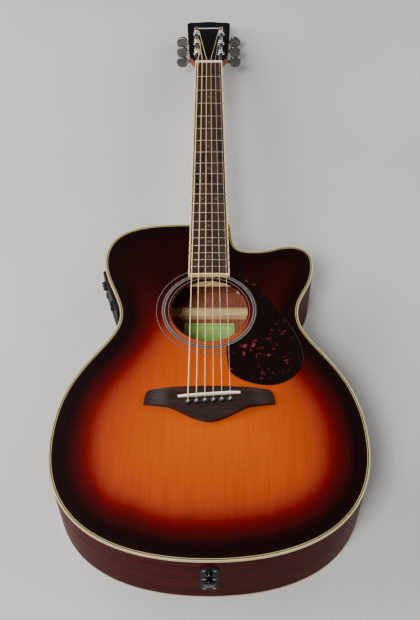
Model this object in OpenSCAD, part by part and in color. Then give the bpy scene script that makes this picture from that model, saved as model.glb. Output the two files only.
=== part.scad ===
// Cutaway acoustic guitar with an undersaddle pickup and a side preamp.
// The flat back lies on Z = 0, +Y runs along the neck towards the head and +X is the treble side.
// The modules are drawn in the top's own frame: z = 0 is the outer face of the soundboard and y = 0
// the nominal saddle line. laid() then tips that frame so that the sloping back lies level.

/* [Neck and strings] */
// Nut to nominal saddle line
scale_length = 634; // [560:1:700]
// Width of the fingerboard at the nut
nut_w = 44; // [40:0.5:54]
// Width of the fingerboard where the neck meets the body
joint_w = 53.5; // [50:0.5:66]
// Number of frets
fret_count = 20; // [18:1:21]
// Thickness of the fingerboard
board_t = 6.5; // [5:0.1:8]
// Depth of the neck below the fingerboard at the nut
shaft_depth_nut = 14.5; // [12:0.5:18]
// Depth of the neck below the fingerboard near the heel
shaft_depth_heel = 17; // [14:0.5:22]
// Outer string to outer string at the nut
nut_spread = 35.5; // [32:0.5:44]
// Outer string to outer string at the saddle
saddle_spread = 51.5; // [46:0.5:60]

/* [Head] */
// Angle of the head behind the neck, degrees
head_tilt = 14; // [8:1:16]
// Length of the head beyond the nut
head_len = 172; // [160:1:190]
// Thickness of the head with its veneer
head_t = 13; // [12:0.5:17]
// Width of the head at its shoulders
head_w_low = 63; // [58:1:72]
// Width of the head at its far end
head_w_top = 76; // [68:1:86]
// Distance from one tuner post to the next
tuner_pitch = 41; // [36:1:44]
// Radius of a tuner post
post_r = 3; // [2.5:0.1:3.5]

/* [Body] */
// Tail to neck joint
body_len = 498; // [440:1:540]
// Width across the lower bout
lower_bout_w = 382; // [340:1:430]
// Width across the waist
waist_w = 234; // [200:1:270]
// Width the upper bout would have without the cutaway
upper_bout_w = 285; // [260:1:320]
// Depth of the body at the tail
tail_depth = 110; // [85:1:132]
// Depth of the body at the neck joint
joint_depth = 90; // [75:1:108]
// Radius of the soundhole
hole_r = 51; // [44:0.5:54]
// Thickness of the soundboard
top_t = 3; // [2.4:0.1:3.6]
// Thickness of the back
back_t = 3; // [2.4:0.1:4]
// Thickness of the sides
side_t = 2.4; // [1.8:0.1:3]
// Width of the edge binding seen from above
binding_w = 2.4; // [1.8:0.1:3]
// Height of the edge binding
binding_h = 6; // [4:0.5:8]

/* [Preamp] */
// Length of the control panel along the side
panel_len = 78; // [66:1:88]
// Height of the control panel
panel_h = 58; // [56:1:68]
// How far the panel stands out from the side
panel_stand = 4.5; // [3.5:0.5:8]
// Radius of the volume knob
knob_r = 6.5; // [6:0.5:9]
// Full travel of a tone slider
slider_travel = 16; // [10:1:18]

/* [Hidden] */

far = 1200;                 // longer than the guitar, for cutting solids
$fn = 48;
run_fit = 0.05;             // radial running clearance of a turning shaft
inlay_fit = 0.02;           // clearance round inlaid and set-in pieces
free_gap = 0.3;             // clearance between pieces that move past each other

// Stations along the body, from the neck joint at the fourteenth fret
joint_y = fret_y(14) + 0.6;
tail_y = joint_y - body_len;
lower_y = tail_y + 145;
waist_y = tail_y + 337;
upper_y = tail_y + 432;
hole_y = joint_y - 152;
back_slope = atan((tail_depth - joint_depth) / body_len);
saddle_depth = depth_at(0);

// Outline of the body
heel_half = 30;             // half width of the flat that the neck meets
horn_tip = [142.5, tail_y + 427];
horn_top = [113, tail_y + 456];
cutaway_floor = [64, tail_y + 447.5];
curve_steps = 14;           // points on each curve of the body's outline
short_steps = 8;            // points on each curve of a smaller outline
// Each row is a point, the handle that arrives at it and the handle that leaves it
outline_knots = [
  [[0, tail_y], [108, 0], [108, 0]],
  [[lower_bout_w / 2, lower_y], [0, 105], [0, 115]],
  [[waist_w / 2, waist_y], [0, 51], [0, 36]],
  [horn_tip, [0, 47], [0, 15]],
  [horn_top, [-20, 0], [-20, 0]],
  [cutaway_floor, [-23, 0], [-38, 0]],
  [[heel_half, joint_y], [-6, 34], [-20, 0]],
  [[-heel_half, joint_y], [-20, 0], [-58, 0]],
  [[-upper_bout_w / 2, upper_y], [0, -60], [0, -36]],
  [[-waist_w / 2, waist_y], [0, -29], [0, -51]],
  [[-lower_bout_w / 2, lower_y], [0, -115], [0, -105]]];
knot_count = len(outline_knots);

// Woodwork inside the body
lining_w = 6;
lining_h = 12;
purfling_w = 1.6;
block_len = 54;             // neck block along the body
block_half = 36;
tail_block_t = 18;
tail_block_half = 38;
brace_w = 8;
brace_h = 14;
thin_brace_w = 6;
thin_brace_h = 8;
cross_y = hole_y - 81;      // where the two long braces cross
cross_angle = 49;           // of each long brace from the centre line
shoulder_brace_y = hole_y + 56.5;
// Thin braces under the top: middle of each, its angle from the centre line and its length
thin_braces = [
  [[hole_r + 24, hole_y], 0, 90],
  [[-hole_r - 24, hole_y], 0, 90],
  [[2, tail_y + 139], 56, 118],
  [[8, tail_y + 89], 56, 150],
  [[lower_bout_w * 0.36, lower_y + 42], -52, 76],
  [[-lower_bout_w * 0.36, lower_y + 42], 52, 76]];
back_brace_w = 13;
back_brace_ys = [hole_y + 58, hole_y - 46, hole_y - 156, hole_y - 262];
tenon_half = 16;
tenon_len = 18;
tenon_depth = 62;
label_size = [71.5, 80, 0.3];
label_y = hole_y + 4;

// Rosette rings, inner and outer radius beyond the hole's edge
rosette_rings = [[2, 3.2], [6.5, 11.8], [18, 19.2]];
rosette_t = 1.2;

// Bridge
bridge_half = 80.6;
bridge_t = 8.5;
wing_t = 4;
scoop_from = 49;            // the scoop between the middle and each wing
scoop_to = 63;
belly_y = -40;
bridge_front_y = 7;
saddle_mid_y = -5.4;
saddle_angle = 4.1;
saddle_len = 77;
saddle_t = 3;
saddle_top = 12;
slot_floor = 1.4;           // wood left under the saddle slot
pickup_t = 1.2;
lead_x = -saddle_len / 2 + 4;   // where the pickup's lead goes down
lead_r = 0.8;
lead_hole_r = 1;
lead_end = 6;               // stretch of the lead left under the bridge plate
pin_behind = 8.4;           // pins behind the saddle line
pin_hole_r = 2.7;
pin_head_r = 3.9;
pin_tip_r = 1.9;
pin_shank = bridge_t + top_t + 5.4;  // pin below the bridge's face
pin_groove_h = 2.4;         // groove in the pin's head, above the bridge
pin_ramp = 0.8;             // extra length of the slot where the string climbs out
plate_t = 2.4;              // bridge plate under the soundboard
plate_corners = [[-52, 2], [52, 2], [62, -34], [-62, -34]];
brace_room = 2;             // braces are notched this far clear of the bridge plate
guard_t = 1.2;
guard_arc_r = hole_r + 12;

// Strings from the low E to the high E: radius of each
string_radii = [0.67, 0.53, 0.41, 0.30, 0.20, 0.15];
string_sides = 8;
ball_r = 1.9;
nut_t = 6;
nut_floor = board_t + 1.5;  // floor of the nut slots
nut_h = 9.2;
string_seat = 0.02;         // under a string where it crosses the nut or the saddle

// Fingerboard
board_end = hole_y + 55.5;
board_binding = 1.7;
fret_r = 1.15;
tang = [0.6, 1.3];
dot_frets = [3, 5, 7, 9, 15, 17, 19];
dot_r = 2.6;
dot_t = 1;
twelfth_dot_x = 10;

// Neck and heel
nut_y = scale_length;
head_y = nut_y + nut_t;
head_z = 2;                 // face of the head at the back of the nut
heel_y = joint_y + 19;      // far edge of the heel's foot
heel_reach = 46;            // sweep from the heel's foot to the shaft
heel_cap_t = 2.5;
cap_corner = [4, 8];        // taken off each outer corner of the heel cap
cap_rise = 0.4;             // the heel cap stays clear of the table
heel_taper = 0.42;          // share of its width that the heel loses on the way down
ring_steps = 20;
rod_r = 2.6;
rod_z = -binding_h - rod_r - 0.4;   // clear of the binding that it passes under
rod_thread_r = 2.2;
rod_start = joint_y - block_len - 6;
rod_end = nut_y - 14;
rod_nut_r = 4;
rod_nut_len = 10;
veneer_t = 1.5;

// Tuners, in the head's frame: x across, y from the nut, z out of the face
first_post_y = 35;
post_x_low = 19.8;
post_x_top = 21.6;
post_h = 13;
bushing_r = 4.4;
washer_r = 6.8;
washer_t = 1;
hex_r = 5.8;
hex_t = 1.8;
sleeve_len = 8;
winding_z = [3.6, 8.4];
string_level = 6;
worm_offset = 7.4;          // worm axis beyond the post, away from the nut
worm_r = 2.3;
gear_r = worm_offset - worm_r - free_gap;
gear_t = 4;
case_wall = 1.3;
case_h = 10;
case_half = 7.8;
case_back = 6.9;            // case edge on the nut side of the post
case_front = worm_offset + 4.6;
collar_len = 3.4;
collar_wall = 1.4;
worm_z = -head_t - case_h / 2;
shaft_r = 2;
button_reach = 16;          // from the post to the near edge of the button
button_size = [18.5, 19, 5];
button_square = 0.78;       // 1 makes the button's outline an oval, less makes it squarer
button_lean = 0.12;         // the button narrows by this share towards its free end
button_collar_r = 3;
ear_len = 6;
ear_t = 1.6;
screw_r = 1;
screw_len = 11;
screw_head_r = 1.9;
screw_head_t = 1;

// Preamp, in the panel's frame: x outward, y towards the tail, z up
panel_top = -12;
panel_z = panel_top - panel_h / 2;
panel_rim = 5;              // panel beyond the cut-out in the side
panel_bow = 6;              // the panel's back follows the side this far in
plug_depth = 5;             // how far the panel's plug goes in
cutout_fit = 0.2;           // clearance round the plug
side_curve_from = 0.07;     // stretch of the side's curve that the panel spans
side_curve_to = 0.83;
cell = [48.5, 26.5, 17.5];  // battery
drawer_wall = 1.2;
drawer_proud = 0.6;         // the drawer's front stands this far off the panel
drawer_dip = 0.4;           // its tray is this much lower than its front
drawer_face = [29.4, 20.4];
drawer_y = 13;
drawer_z = -panel_h / 2 + panel_rim + 4 + drawer_face[1] / 2;
housing_wall = 2;
housing_len = cell[0] + 7;  // room for the drawer behind the plug
housing_size = [panel_len - 2 * panel_rim - 1, panel_h - 2 * panel_rim - 1];
slider_y = drawer_y;
slider_zs = [19.5, 12.5, 5.5];
slot_half_h = 0.9;
stem = [1.2, 3];            // height and length of a slider's stem
slider_cap = [4, 5, 4.4];
knob_y = -panel_len / 2 + 14;
knob_z = 11;
knob_h = 5;
knob_shaft_r = 3;
knob_mark = [1, 4, 0.1];    // width, length and depth of the pointer's groove
stem_back = 4;              // controls reach this far behind the plug
switch_z = -12;
switch_r = 3.4;
switch_travel = 1.5;
switch_stand = switch_travel + 0.5;  // pressed in, the switch is still just proud
circuit_size = [1.6, 40];   // thickness and height of the circuit board
circuit_gap = 12;           // between the board and the case's open side

// End plate
plate_w = 22;
plate_len = 70;
plate_th = 1.6;
screw_rise = 0.15;          // screw heads stand just off the bowed end plate
plate_top = -14;
strap_z = plate_top - 19;
jack_z = plate_top - 48;
jack_bore_r = 3.25;
jack_r = 4.7;
jack_len = 31;
jack_flange_r = 7;
jack_flange_t = 3;
strap_screw_r = 2;
strap_screw_len = 16;
// The strap button's half section from its foot to its head
strap_profile = [[0, 0], [5.5, 0], [5, 1.2], [3.4, 3], [3.2, 7], [4.4, 9], [6.8, 10.2],
                 [7, 11.6], [6, 12.8], [0, 13.4]];
plate_screws = [[-6, -8], [6, -8], [-6, -33], [6, -33], [-6, -61], [6, -61]];

function fret_y(n) = scale_length * pow(2, -n / 12);
function depth_at(y) = tail_depth - (y - tail_y) * tan(back_slope);
function bezier(a, b, c, d, t) =
  pow(1 - t, 3) * a + 3 * t * pow(1 - t, 2) * b + 3 * t * t * (1 - t) * c + pow(t, 3) * d;
function knot_curve(k, t) =
  let (a = outline_knots[k], b = outline_knots[(k + 1) % knot_count])
  bezier(a[0], a[0] + a[2], b[0] - b[1], b[0], t);
function outline_points() =
  [for (k = [0:knot_count - 1], i = [0:curve_steps - 1])
    if (k != 6 || i == 0) knot_curve(k, i / curve_steps)];
function chain(knots) = concat(
  [for (k = [0:len(knots) - 2], i = [0:short_steps - 1])
    let (a = knots[k], b = knots[k + 1])
    bezier(a[0], a[0] + a[2], b[0] - b[1], b[0], i / short_steps)],
  [knots[len(knots) - 1][0]]);
// Both halves of an outline whose treble half is given
function both_halves(half) =
  concat(half, [for (i = [len(half) - 1:-1:0]) if (half[i][0] > 0) [-half[i][0], half[i][1]]]);
function board_w(y) = nut_w + (joint_w - nut_w) * (nut_y - y) / (nut_y - fret_y(14));
function saddle_y(x) = saddle_mid_y + x * tan(saddle_angle);
function spread(i, width) = (i - 2.5) * width / 5;
function pin_place(i) = [spread(i, saddle_spread), saddle_y(spread(i, saddle_spread)) - pin_behind];
function string_slot(i) = 2 * string_radii[i] + 0.4;
function string_hole_y(i) = pin_place(i)[1] + pin_hole_r + string_radii[i];
function tuner_sign(k) = k <= 3 ? -1 : 1;
function tuner_step(k) = k <= 3 ? k - 1 : 6 - k;
function post_y(k) = first_post_y + tuner_pitch * tuner_step(k);
function post_x(k) = tuner_sign(k) * (post_x_low + (post_x_top - post_x_low) * tuner_step(k) / 2);
function winding_r(k) = post_r + 2 * string_radii[k - 1];
function from_head(p) = [
  p[0],
  head_y + p[1] * cos(head_tilt) + p[2] * sin(head_tilt),
  head_z - p[1] * sin(head_tilt) + p[2] * cos(head_tilt)];

// ---- shared shapes ----

module laid() {
  translate([0, 0, saddle_depth * cos(back_slope)]) rotate([-back_slope, 0, 0]) children();
}

// Frame of the back: z = 0 is its outer face
module on_back() {
  translate([0, tail_y, -tail_depth]) rotate([back_slope, 0, 0]) children();
}

module in_head() {
  translate([0, head_y, head_z]) rotate([-head_tilt, 0, 0]) children();
}

module body_outline(inset = 0) {
  offset(delta = -inset) polygon(outline_points());
}

module edge_band(outer, inner) {
  difference() {
    body_outline(outer);
    body_outline(inner);
  }
}

// Everything between two heights above the back's outer face
module back_slab(low, high) {
  on_back() translate([-far / 2, -far / 4, low]) cube([far, far, high - low]);
}

module below_back(height) {
  back_slab(-far / 2, height);
}

module prism(low, high) {
  translate([0, 0, low]) linear_extrude(high - low) children();
}

// A tube of flat-sided section along a list of points
module cord_tube(path, r) {
  count = len(path);
  points = [for (k = [0:count - 1], s = [0:string_sides - 1])
    let (
      ahead = path[min(k + 1, count - 1)] - path[k],
      behind = path[k] - path[max(k - 1, 0)],
      run = ahead / max(norm(ahead), 0.001) + behind / max(norm(behind), 0.001),
      dir = run / norm(run),
      side = cross(dir, [1, 0, 0]) / norm(cross(dir, [1, 0, 0])),
      up = cross(side, dir),
      a = 360 * (s + 0.5) / string_sides)
    path[k] + r * (cos(a) * side + sin(a) * up)];
  walls = [for (k = [0:count - 2], s = [0:string_sides - 1])
    let (t = (s + 1) % string_sides, base = k * string_sides)
    [base + s, base + t, base + string_sides + t, base + string_sides + s]];
  ends = [[for (s = [string_sides - 1:-1:0]) s],
          [for (s = [0:string_sides - 1]) (count - 1) * string_sides + s]];
  polyhedron(points, concat(walls, ends));
}

// Holes of the pins and the string slots in front of them, cut from low to high
module pin_holes(low, high) {
  for (i = [0:5]) translate([pin_place(i)[0], pin_place(i)[1], low]) {
    cylinder(h = high - low, r = pin_hole_r);
    translate([-string_slot(i) / 2, 0, 0])
      cube([string_slot(i), pin_hole_r + string_slot(i) + pin_ramp, high - low]);
  }
}

// ---- body ----

module soundboard() {
  color("sienna") laid() difference() {
    prism(-top_t, 0) body_outline(binding_w + purfling_w);
    translate([0, hole_y, -top_t - 1]) cylinder(h = top_t + 2, r = hole_r, $fn = 96);
    rosette_cuts(inlay_fit, 1);
    pin_holes(-top_t - 1, 1);
    saddle_lead(-top_t - 1, 1, lead_hole_r);
  }
}

module rosette_cuts(gap, above) {
  translate([0, hole_y, -rosette_t]) for (ring = rosette_rings) difference() {
    cylinder(h = rosette_t + above, r = hole_r + ring[1] + gap, $fn = 96);
    translate([0, 0, -1]) cylinder(h = rosette_t + above + 2, r = hole_r + ring[0] - gap, $fn = 96);
  }
}

// The pickup's lead goes down at one end of the saddle slot
module saddle_lead(low, high, r) {
  translate([lead_x, saddle_y(lead_x), low]) cylinder(h = high - low, r = r);
}

module rosette() {
  color("khaki") laid() rosette_cuts(0, 0);
}

module purfling() {
  color("black") laid() prism(-top_t, 0) edge_band(binding_w, binding_w + purfling_w);
}

module binding_top() {
  color("moccasin") laid() prism(-binding_h, 0) edge_band(0, binding_w);
}

module binding_back() {
  color("moccasin") laid() intersection() {
    prism(-tail_depth - 20, -joint_depth / 2) edge_band(0, binding_w);
    back_slab(0, binding_h);
  }
}

module back_plate() {
  color("maroon") laid() intersection() {
    prism(-tail_depth - 20, -joint_depth / 2) body_outline(binding_w);
    back_slab(0, back_t);
  }
}

// One side: which = -1 is the bass side and 1 the treble side
module side_wall(which) {
  laid() difference() {
    prism(-tail_depth, -top_t) intersection() {
      edge_band(0, side_t);
      translate([which * far / 2, 0]) square(far, center = true);
    }
    prism(-binding_h, 1) edge_band(-1, binding_w);
    below_back(back_t);
    intersection() {
      prism(-tail_depth - 20, -joint_depth / 2) edge_band(-1, binding_w);
      below_back(binding_h);
    }
    tenon(inlay_fit);
    rod_hole();
    tail_holes();
    if (which < 0) at_panel() translate([-plug_depth * 2, 0, 0]) panel_cutout(plug_depth * 4, cutout_fit);
  }
}

module side_bass() {
  color("maroon") side_wall(-1);
}

module side_treble() {
  color("maroon") side_wall(1);
}

// Linings glued along the sides under the top and over the back
module linings() {
  color("burlywood") laid() difference() {
    union() {
      prism(-top_t - lining_h, -top_t) edge_band(side_t + inlay_fit, side_t + lining_w);
      intersection() {
        prism(-tail_depth - 20, -joint_depth / 2) edge_band(side_t + inlay_fit, side_t + lining_w);
        back_slab(back_t, back_t + lining_h);
      }
    }
    translate([-block_half - 1, joint_y - block_len - 1, -far / 2])
      cube([2 * block_half + 2, block_len * 2, far]);
    translate([-tail_block_half - 1, tail_y - 1, -far / 2])
      cube([2 * tail_block_half + 2, tail_block_t + side_t + 2, far]);
  }
}

module neck_block() {
  color("peru") laid() difference() {
    prism(-tail_depth, -top_t) intersection() {
      body_outline(side_t + inlay_fit);
      translate([-block_half, joint_y - block_len]) square([2 * block_half, block_len]);
    }
    below_back(back_t);
    tenon(inlay_fit);
    rod_hole();
  }
}

module tail_block() {
  color("peru") laid() difference() {
    prism(-tail_depth, -top_t) intersection() {
      body_outline(side_t + inlay_fit);
      translate([-tail_block_half, tail_y])
        square([2 * tail_block_half, tail_block_t + side_t]);
    }
    below_back(back_t);
    tail_holes();
  }
}

module tail_holes() {
  translate([0, tail_y + far / 8, jack_z]) rotate([90, 0, 0])
    cylinder(h = far / 4, r = jack_r + inlay_fit);
  translate([0, tail_y + far / 8, strap_z]) rotate([90, 0, 0])
    cylinder(h = far / 4, r = strap_screw_r + inlay_fit);
  for (p = plate_screws) translate([p[0], tail_y + screw_len - 1, plate_top + p[1]])
    rotate([90, 0, 0]) cylinder(h = screw_len + 5, r = screw_r + inlay_fit);
}

// A bar on the underside of the top, along the line through a place at an angle from the centre line
module top_bar(place, angle, length, width, height) {
  translate([place[0], place[1], -top_t - height]) rotate([0, 0, -angle])
    translate([-width / 2, -length / 2, 0]) cube([width, length, height]);
}

module top_braces() {
  color("wheat") laid() difference() {
    intersection() {
      prism(-top_t - brace_h - 1, -top_t) body_outline(side_t + lining_w + 1);
      union() {
        for (s = [-1, 1]) top_bar([0, cross_y], s * cross_angle, far, brace_w, brace_h);
        top_bar([0, shoulder_brace_y], 90, far, brace_w, brace_h);
        for (b = thin_braces) top_bar(b[0], b[1], b[2], thin_brace_w, thin_brace_h);
      }
    }
    rod_hole();
    prism(-top_t - plate_t - inlay_fit, 1) offset(delta = brace_room) polygon(plate_corners);
  }
}

module bridge_plate() {
  color("tan") laid() difference() {
    prism(-top_t - plate_t, -top_t) polygon(plate_corners);
    pin_holes(-top_t - plate_t - 1, 0);
    saddle_lead(-top_t - plate_t - 1, 0, lead_hole_r);
  }
}

module back_braces() {
  color("wheat") laid() intersection() {
    prism(-tail_depth, -joint_depth / 2) body_outline(side_t + lining_w + 1);
    on_back() for (y = back_brace_ys) translate([-far / 2, y - tail_y - back_brace_w / 2, back_t])
      cube([far, back_brace_w, brace_h]);
  }
}

module label() {
  color("darkseagreen") laid() on_back()
    translate([-label_size[0] / 2, label_y - tail_y - label_size[1] / 2, back_t])
      cube(label_size);
}

// ---- top fittings ----

// The guard's outer edge as a chain of curves, from the hole's upper side round to its lower side
guard_x = board_w(board_end) / 2 + 1.8;
guard_knots = [
  [[guard_x, hole_y + 67], [4, -4], [6, 5]],
  [[49, hole_y + 63], [5, -6], [10, -12]],
  [[106, hole_y - 27], [9, -18], [7, -13]],
  [[120, hole_y - 76], [0, -16], [0, -22]],
  [[74, hole_y - 118], [-24, 0], [-22, 0]],
  [[25, hole_y - 94], [-3, 12], [-3, 14]],
  [[23, hole_y - 55], [2, 8], [10, 20]]];

module pickguard() {
  color("black") laid() prism(0, guard_t) difference() {
    polygon(concat(chain(guard_knots), [[guard_x, hole_y]]));
    translate([0, hole_y]) circle(r = guard_arc_r, $fn = 96);
  }
}

// Half of the bridge's outline, from the middle of its front edge to the belly
bridge_knots = [
  [[0, bridge_front_y], [0, 0], [28, 0]],
  [[bridge_half - 9.5, 4.4], [20, -0.5], [5, -0.2]],
  [[bridge_half - 1.4, -5.5], [0.4, -4.5], [0.3, -3]],
  [[bridge_half, -15.6], [0.3, -3], [-8, 0]],
  [[51, -18.9], [-7, -0.7], [-14, -4.5]],
  [[0, belly_y], [-17, 0], [0, 0]]];

// The bridge's height along its length: full in the middle, scooped to thin wings
module bridge_profile() {
  scoop = [for (i = [0:short_steps]) let (t = i / short_steps)
    [scoop_from + (scoop_to - scoop_from) * t,
     wing_t + (bridge_t - wing_t) * (1 + cos(180 * t)) / 2]];
  polygon(both_halves(concat(scoop, [[bridge_half + 1, wing_t], [bridge_half + 1, 0]])));
}

module saddle_slab(low, high, gap) {
  translate([0, saddle_mid_y, low]) rotate([0, 0, saddle_angle])
    translate([-saddle_len / 2 - gap, -saddle_t / 2 - gap, 0])
      cube([saddle_len + 2 * gap, saddle_t + 2 * gap, high - low]);
}

module bridge() {
  color("saddlebrown") laid() difference() {
    intersection() {
      linear_extrude(bridge_t) polygon(both_halves(chain(bridge_knots)));
      translate([0, far / 2, 0]) rotate([90, 0, 0]) linear_extrude(far) bridge_profile();
    }
    saddle_slab(slot_floor, bridge_t + 1, inlay_fit);
    pin_holes(-1, bridge_t + 1);
    saddle_lead(-1, bridge_t / 2, lead_hole_r);
  }
}

module saddle() {
  color("ivory") laid() saddle_slab(slot_floor + pickup_t, saddle_top, 0);
}

module saddle_pickup() {
  color("silver") laid() {
    saddle_slab(slot_floor, slot_floor + pickup_t, 0);
    saddle_lead(-top_t - plate_t - lead_end, slot_floor, lead_r);
  }
}

// Tapered pins, each with a groove under its head that lets the string out towards the saddle
module bridge_pins() {
  color("dimgray") laid() for (i = [0:5]) translate([pin_place(i)[0], pin_place(i)[1], bridge_t])
    difference() {
      rotate_extrude($fn = 32) polygon([
        [0, -pin_shank], [pin_tip_r, -pin_shank], [pin_hole_r - 0.25, 0], [pin_head_r, 0.1],
        [pin_head_r, 0.9], [3.3, 2.2], [1.8, 3.1], [0, 3.3]]);
      translate([-string_slot(i) / 2, pin_hole_r - 0.1, -1])
        cube([string_slot(i), pin_head_r, pin_groove_h + 1]);
    }
}

// ---- neck ----

// One section of the neck: width, height of its flat top, height of its lowest line and roundness
function neck_ring(y, w, top, low, round) = [for (i = [0:ring_steps])
  let (
    a = 180 * i / ring_steps,
    c = cos(a),
    drop = (top - low) * pow(sin(a), round),
    slim = 1 - heel_taper * drop / joint_depth)
  [sign(c) * pow(abs(c), round) * w / 2 * slim, y, top - drop]];

function shaft_low(y) =
  -shaft_depth_heel + (shaft_depth_heel - shaft_depth_nut) * (y - heel_y) / (nut_y - heel_y);
function heel_low(y) = -depth_at(y) + heel_cap_t + cap_rise;
function head_low(y) = head_z - (y - head_y) * tan(head_tilt) - head_t / cos(head_tilt);

function neck_rings() = concat(
  [for (t = [0, 0.5, 1]) let (y = joint_y + (heel_y - joint_y) * t)
    neck_ring(y, board_w(y), 0, heel_low(y), 0.3 + 0.25 * t)],
  [for (a = [80:-10:0]) let (
      y = heel_y + heel_reach * (1 - sin(a)),
      foot = heel_low(heel_y),
      low = foot + (shaft_low(y) - foot) * cos(a))
    neck_ring(y, board_w(y), 0, low, 0.55 + 0.25 * cos(a))],
  [for (t = [0.25:0.25:1]) let (y = heel_y + heel_reach + (nut_y - heel_y - heel_reach) * t)
    neck_ring(y, board_w(y), 0, shaft_low(y), 0.8)],
  [for (t = [0.2:0.2:1]) let (y = head_y + 30 * t)
    neck_ring(y, nut_w + 2 * t, -veneer_t - (y - head_y) * tan(head_tilt),
              -shaft_depth_nut + (head_low(y) - 0.2 + shaft_depth_nut) * t, 0.8)]);

module neck_loft() {
  rings = neck_rings();
  size = ring_steps + 1;
  last = len(rings) - 1;
  walls = [for (k = [0:last - 1], i = [0:size - 1])
    let (j = (i + 1) % size, base = k * size)
    [base + j, base + i, base + size + i, base + size + j]];
  ends = [[for (i = [0:size - 1]) i], [for (i = [size - 1:-1:0]) last * size + i]];
  polyhedron([for (ring = rings, p = ring) p], concat(walls, ends));
}

// The head's outline from the nut, as half a chain of curves
head_knots = [
  [[nut_w / 2, -2], [0, 2], [0, 8]],
  [[head_w_low / 2, 27], [3, 9], [0.6, 3]],
  [[head_w_top / 2, head_len - 12], [0.6, 20], [0.2, 6]],
  [[head_w_top / 2 - 9, head_len - 3], [-5, 0.4], [-8, -1]],
  [[0, head_len], [-12, 0], [0, 0]]];

module head_outline() {
  polygon(both_halves(chain(head_knots)));
}

module tenon(gap) {
  translate([-tenon_half - gap, joint_y - tenon_len - gap, -top_t - 8 - tenon_depth - gap])
    cube([2 * (tenon_half + gap), tenon_len + gap + 1, tenon_depth + 2 * gap]);
}

module rod_hole() {
  translate([0, rod_end + 1, rod_z]) rotate([90, 0, 0])
    cylinder(h = rod_end + 1 - shoulder_brace_y + 20, r = rod_r + inlay_fit);
}

module neck() {
  color("saddlebrown") laid() difference() {
    union() {
      neck_loft();
      tenon(0);
      in_head() translate([0, 0, -head_t]) linear_extrude(head_t - veneer_t) head_outline();
    }
    translate([-nut_w, nut_y, 0]) cube([2 * nut_w, nut_t, far]);
    rod_hole();
    in_head() for (k = [1:6]) translate([post_x(k), post_y(k), -head_t - 1])
      cylinder(h = head_t + 2, r = bushing_r + inlay_fit);
    in_head() for (k = [1:6]) ear_screw_place(k)
      translate([0, 0, -1]) cylinder(h = screw_len + 1, r = screw_r + inlay_fit);
  }
}

module heel_cap() {
  foot_w = joint_w * (1 - heel_taper);
  color("black") laid() intersection() {
    prism(-tail_depth, -joint_depth / 2) {
      translate([-foot_w / 2, joint_y]) square([foot_w, heel_y - joint_y - cap_corner[1]]);
      translate([-foot_w / 2 + cap_corner[0], joint_y])
        square([foot_w - 2 * cap_corner[0], heel_y - joint_y]);
    }
    back_slab(cap_rise, cap_rise + heel_cap_t);
  }
}

module board_shape(inset) {
  low = board_end + inset;
  polygon([[-board_w(nut_y) / 2 + inset, nut_y], [board_w(nut_y) / 2 - inset, nut_y],
           [board_w(low) / 2 - inset, low], [-board_w(low) / 2 + inset, low]]);
}

module at_dots() {
  for (n = dot_frets) if (n <= fret_count)
    translate([0, (fret_y(n) + fret_y(n - 1)) / 2, board_t - dot_t]) children();
  for (s = [-1, 1])
    translate([s * twelfth_dot_x, (fret_y(12) + fret_y(11)) / 2, board_t - dot_t]) children();
}

module fingerboard() {
  color("darkslategray") laid() difference() {
    linear_extrude(board_t) board_shape(board_binding);
    for (n = [1:fret_count]) translate([-nut_w, fret_y(n) - tang[0] / 2, board_t - tang[1]])
      cube([2 * nut_w, tang[0], tang[1] + 1]);
    at_dots() cylinder(h = dot_t + 1, r = dot_r + inlay_fit);
  }
}

module fingerboard_binding() {
  color("moccasin") laid() linear_extrude(board_t) difference() {
    board_shape(0);
    board_shape(board_binding);
  }
}

module frets() {
  color("silver") laid() for (n = [1:fret_count]) {
    w = board_w(fret_y(n));
    tang_w = w - 2 * board_binding - 0.2;
    translate([-w / 2, fret_y(n), board_t]) rotate([90, 0, 90]) linear_extrude(w) intersection() {
      circle(r = fret_r);
      translate([-fret_r, 0]) square([2 * fret_r, fret_r]);
    }
    translate([-tang_w / 2, fret_y(n) - tang[0] / 2, board_t - tang[1]])
      cube([tang_w, tang[0], tang[1]]);
  }
}

module position_markers() {
  color("ivory") laid() at_dots() cylinder(h = dot_t, r = dot_r);
}

module head_veneer() {
  color("black") laid() difference() {
    in_head() translate([0, 0, -veneer_t]) linear_extrude(veneer_t) head_outline();
    translate([-nut_w, nut_y - 10, -20]) cube([2 * nut_w, nut_t + 10, far]);
    in_head() for (k = [1:6]) translate([post_x(k), post_y(k), -veneer_t - 1])
      cylinder(h = veneer_t + 2, r = bushing_r + inlay_fit);
  }
}

module nut() {
  color("ivory") laid() difference() {
    translate([-nut_w / 2, nut_y, 0]) cube([nut_w, nut_t, nut_h]);
    for (i = [0:5]) {
      slot = 2 * string_radii[i] + 0.1;
      translate([spread(i, nut_spread) - slot / 2, nut_y - 1, nut_floor])
        cube([slot, nut_t + 2, nut_h]);
    }
  }
}

module truss_rod() {
  color("silver") laid() translate([0, rod_end, rod_z]) rotate([90, 0, 0]) {
    cylinder(h = rod_end - rod_start, r = rod_r);
    cylinder(h = rod_end - rod_start + rod_nut_len - 4, r = rod_thread_r);
  }
}

// Turns on the rod's threaded end and takes a hexagon key through the soundhole
module truss_rod_nut() {
  color("goldenrod") laid() translate([0, rod_start - free_gap, rod_z]) rotate([90, 0, 0])
    difference() {
      cylinder(h = rod_nut_len, r = rod_nut_r);
      translate([0, 0, -1]) cylinder(h = rod_nut_len - 2, r = rod_thread_r + run_fit);
      translate([0, 0, 1]) cylinder(h = rod_nut_len, r = rod_thread_r, $fn = 6);
    }
}

// ---- tuners ----

module at_tuner(k) {
  laid() in_head() translate([post_x(k), post_y(k), 0]) children();
}

// Point on the head's back where the screw of tuner k goes in
module ear_screw_place(k) {
  translate([post_x(k), post_y(k) - case_back - ear_len / 2, -head_t]) children();
}

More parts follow.
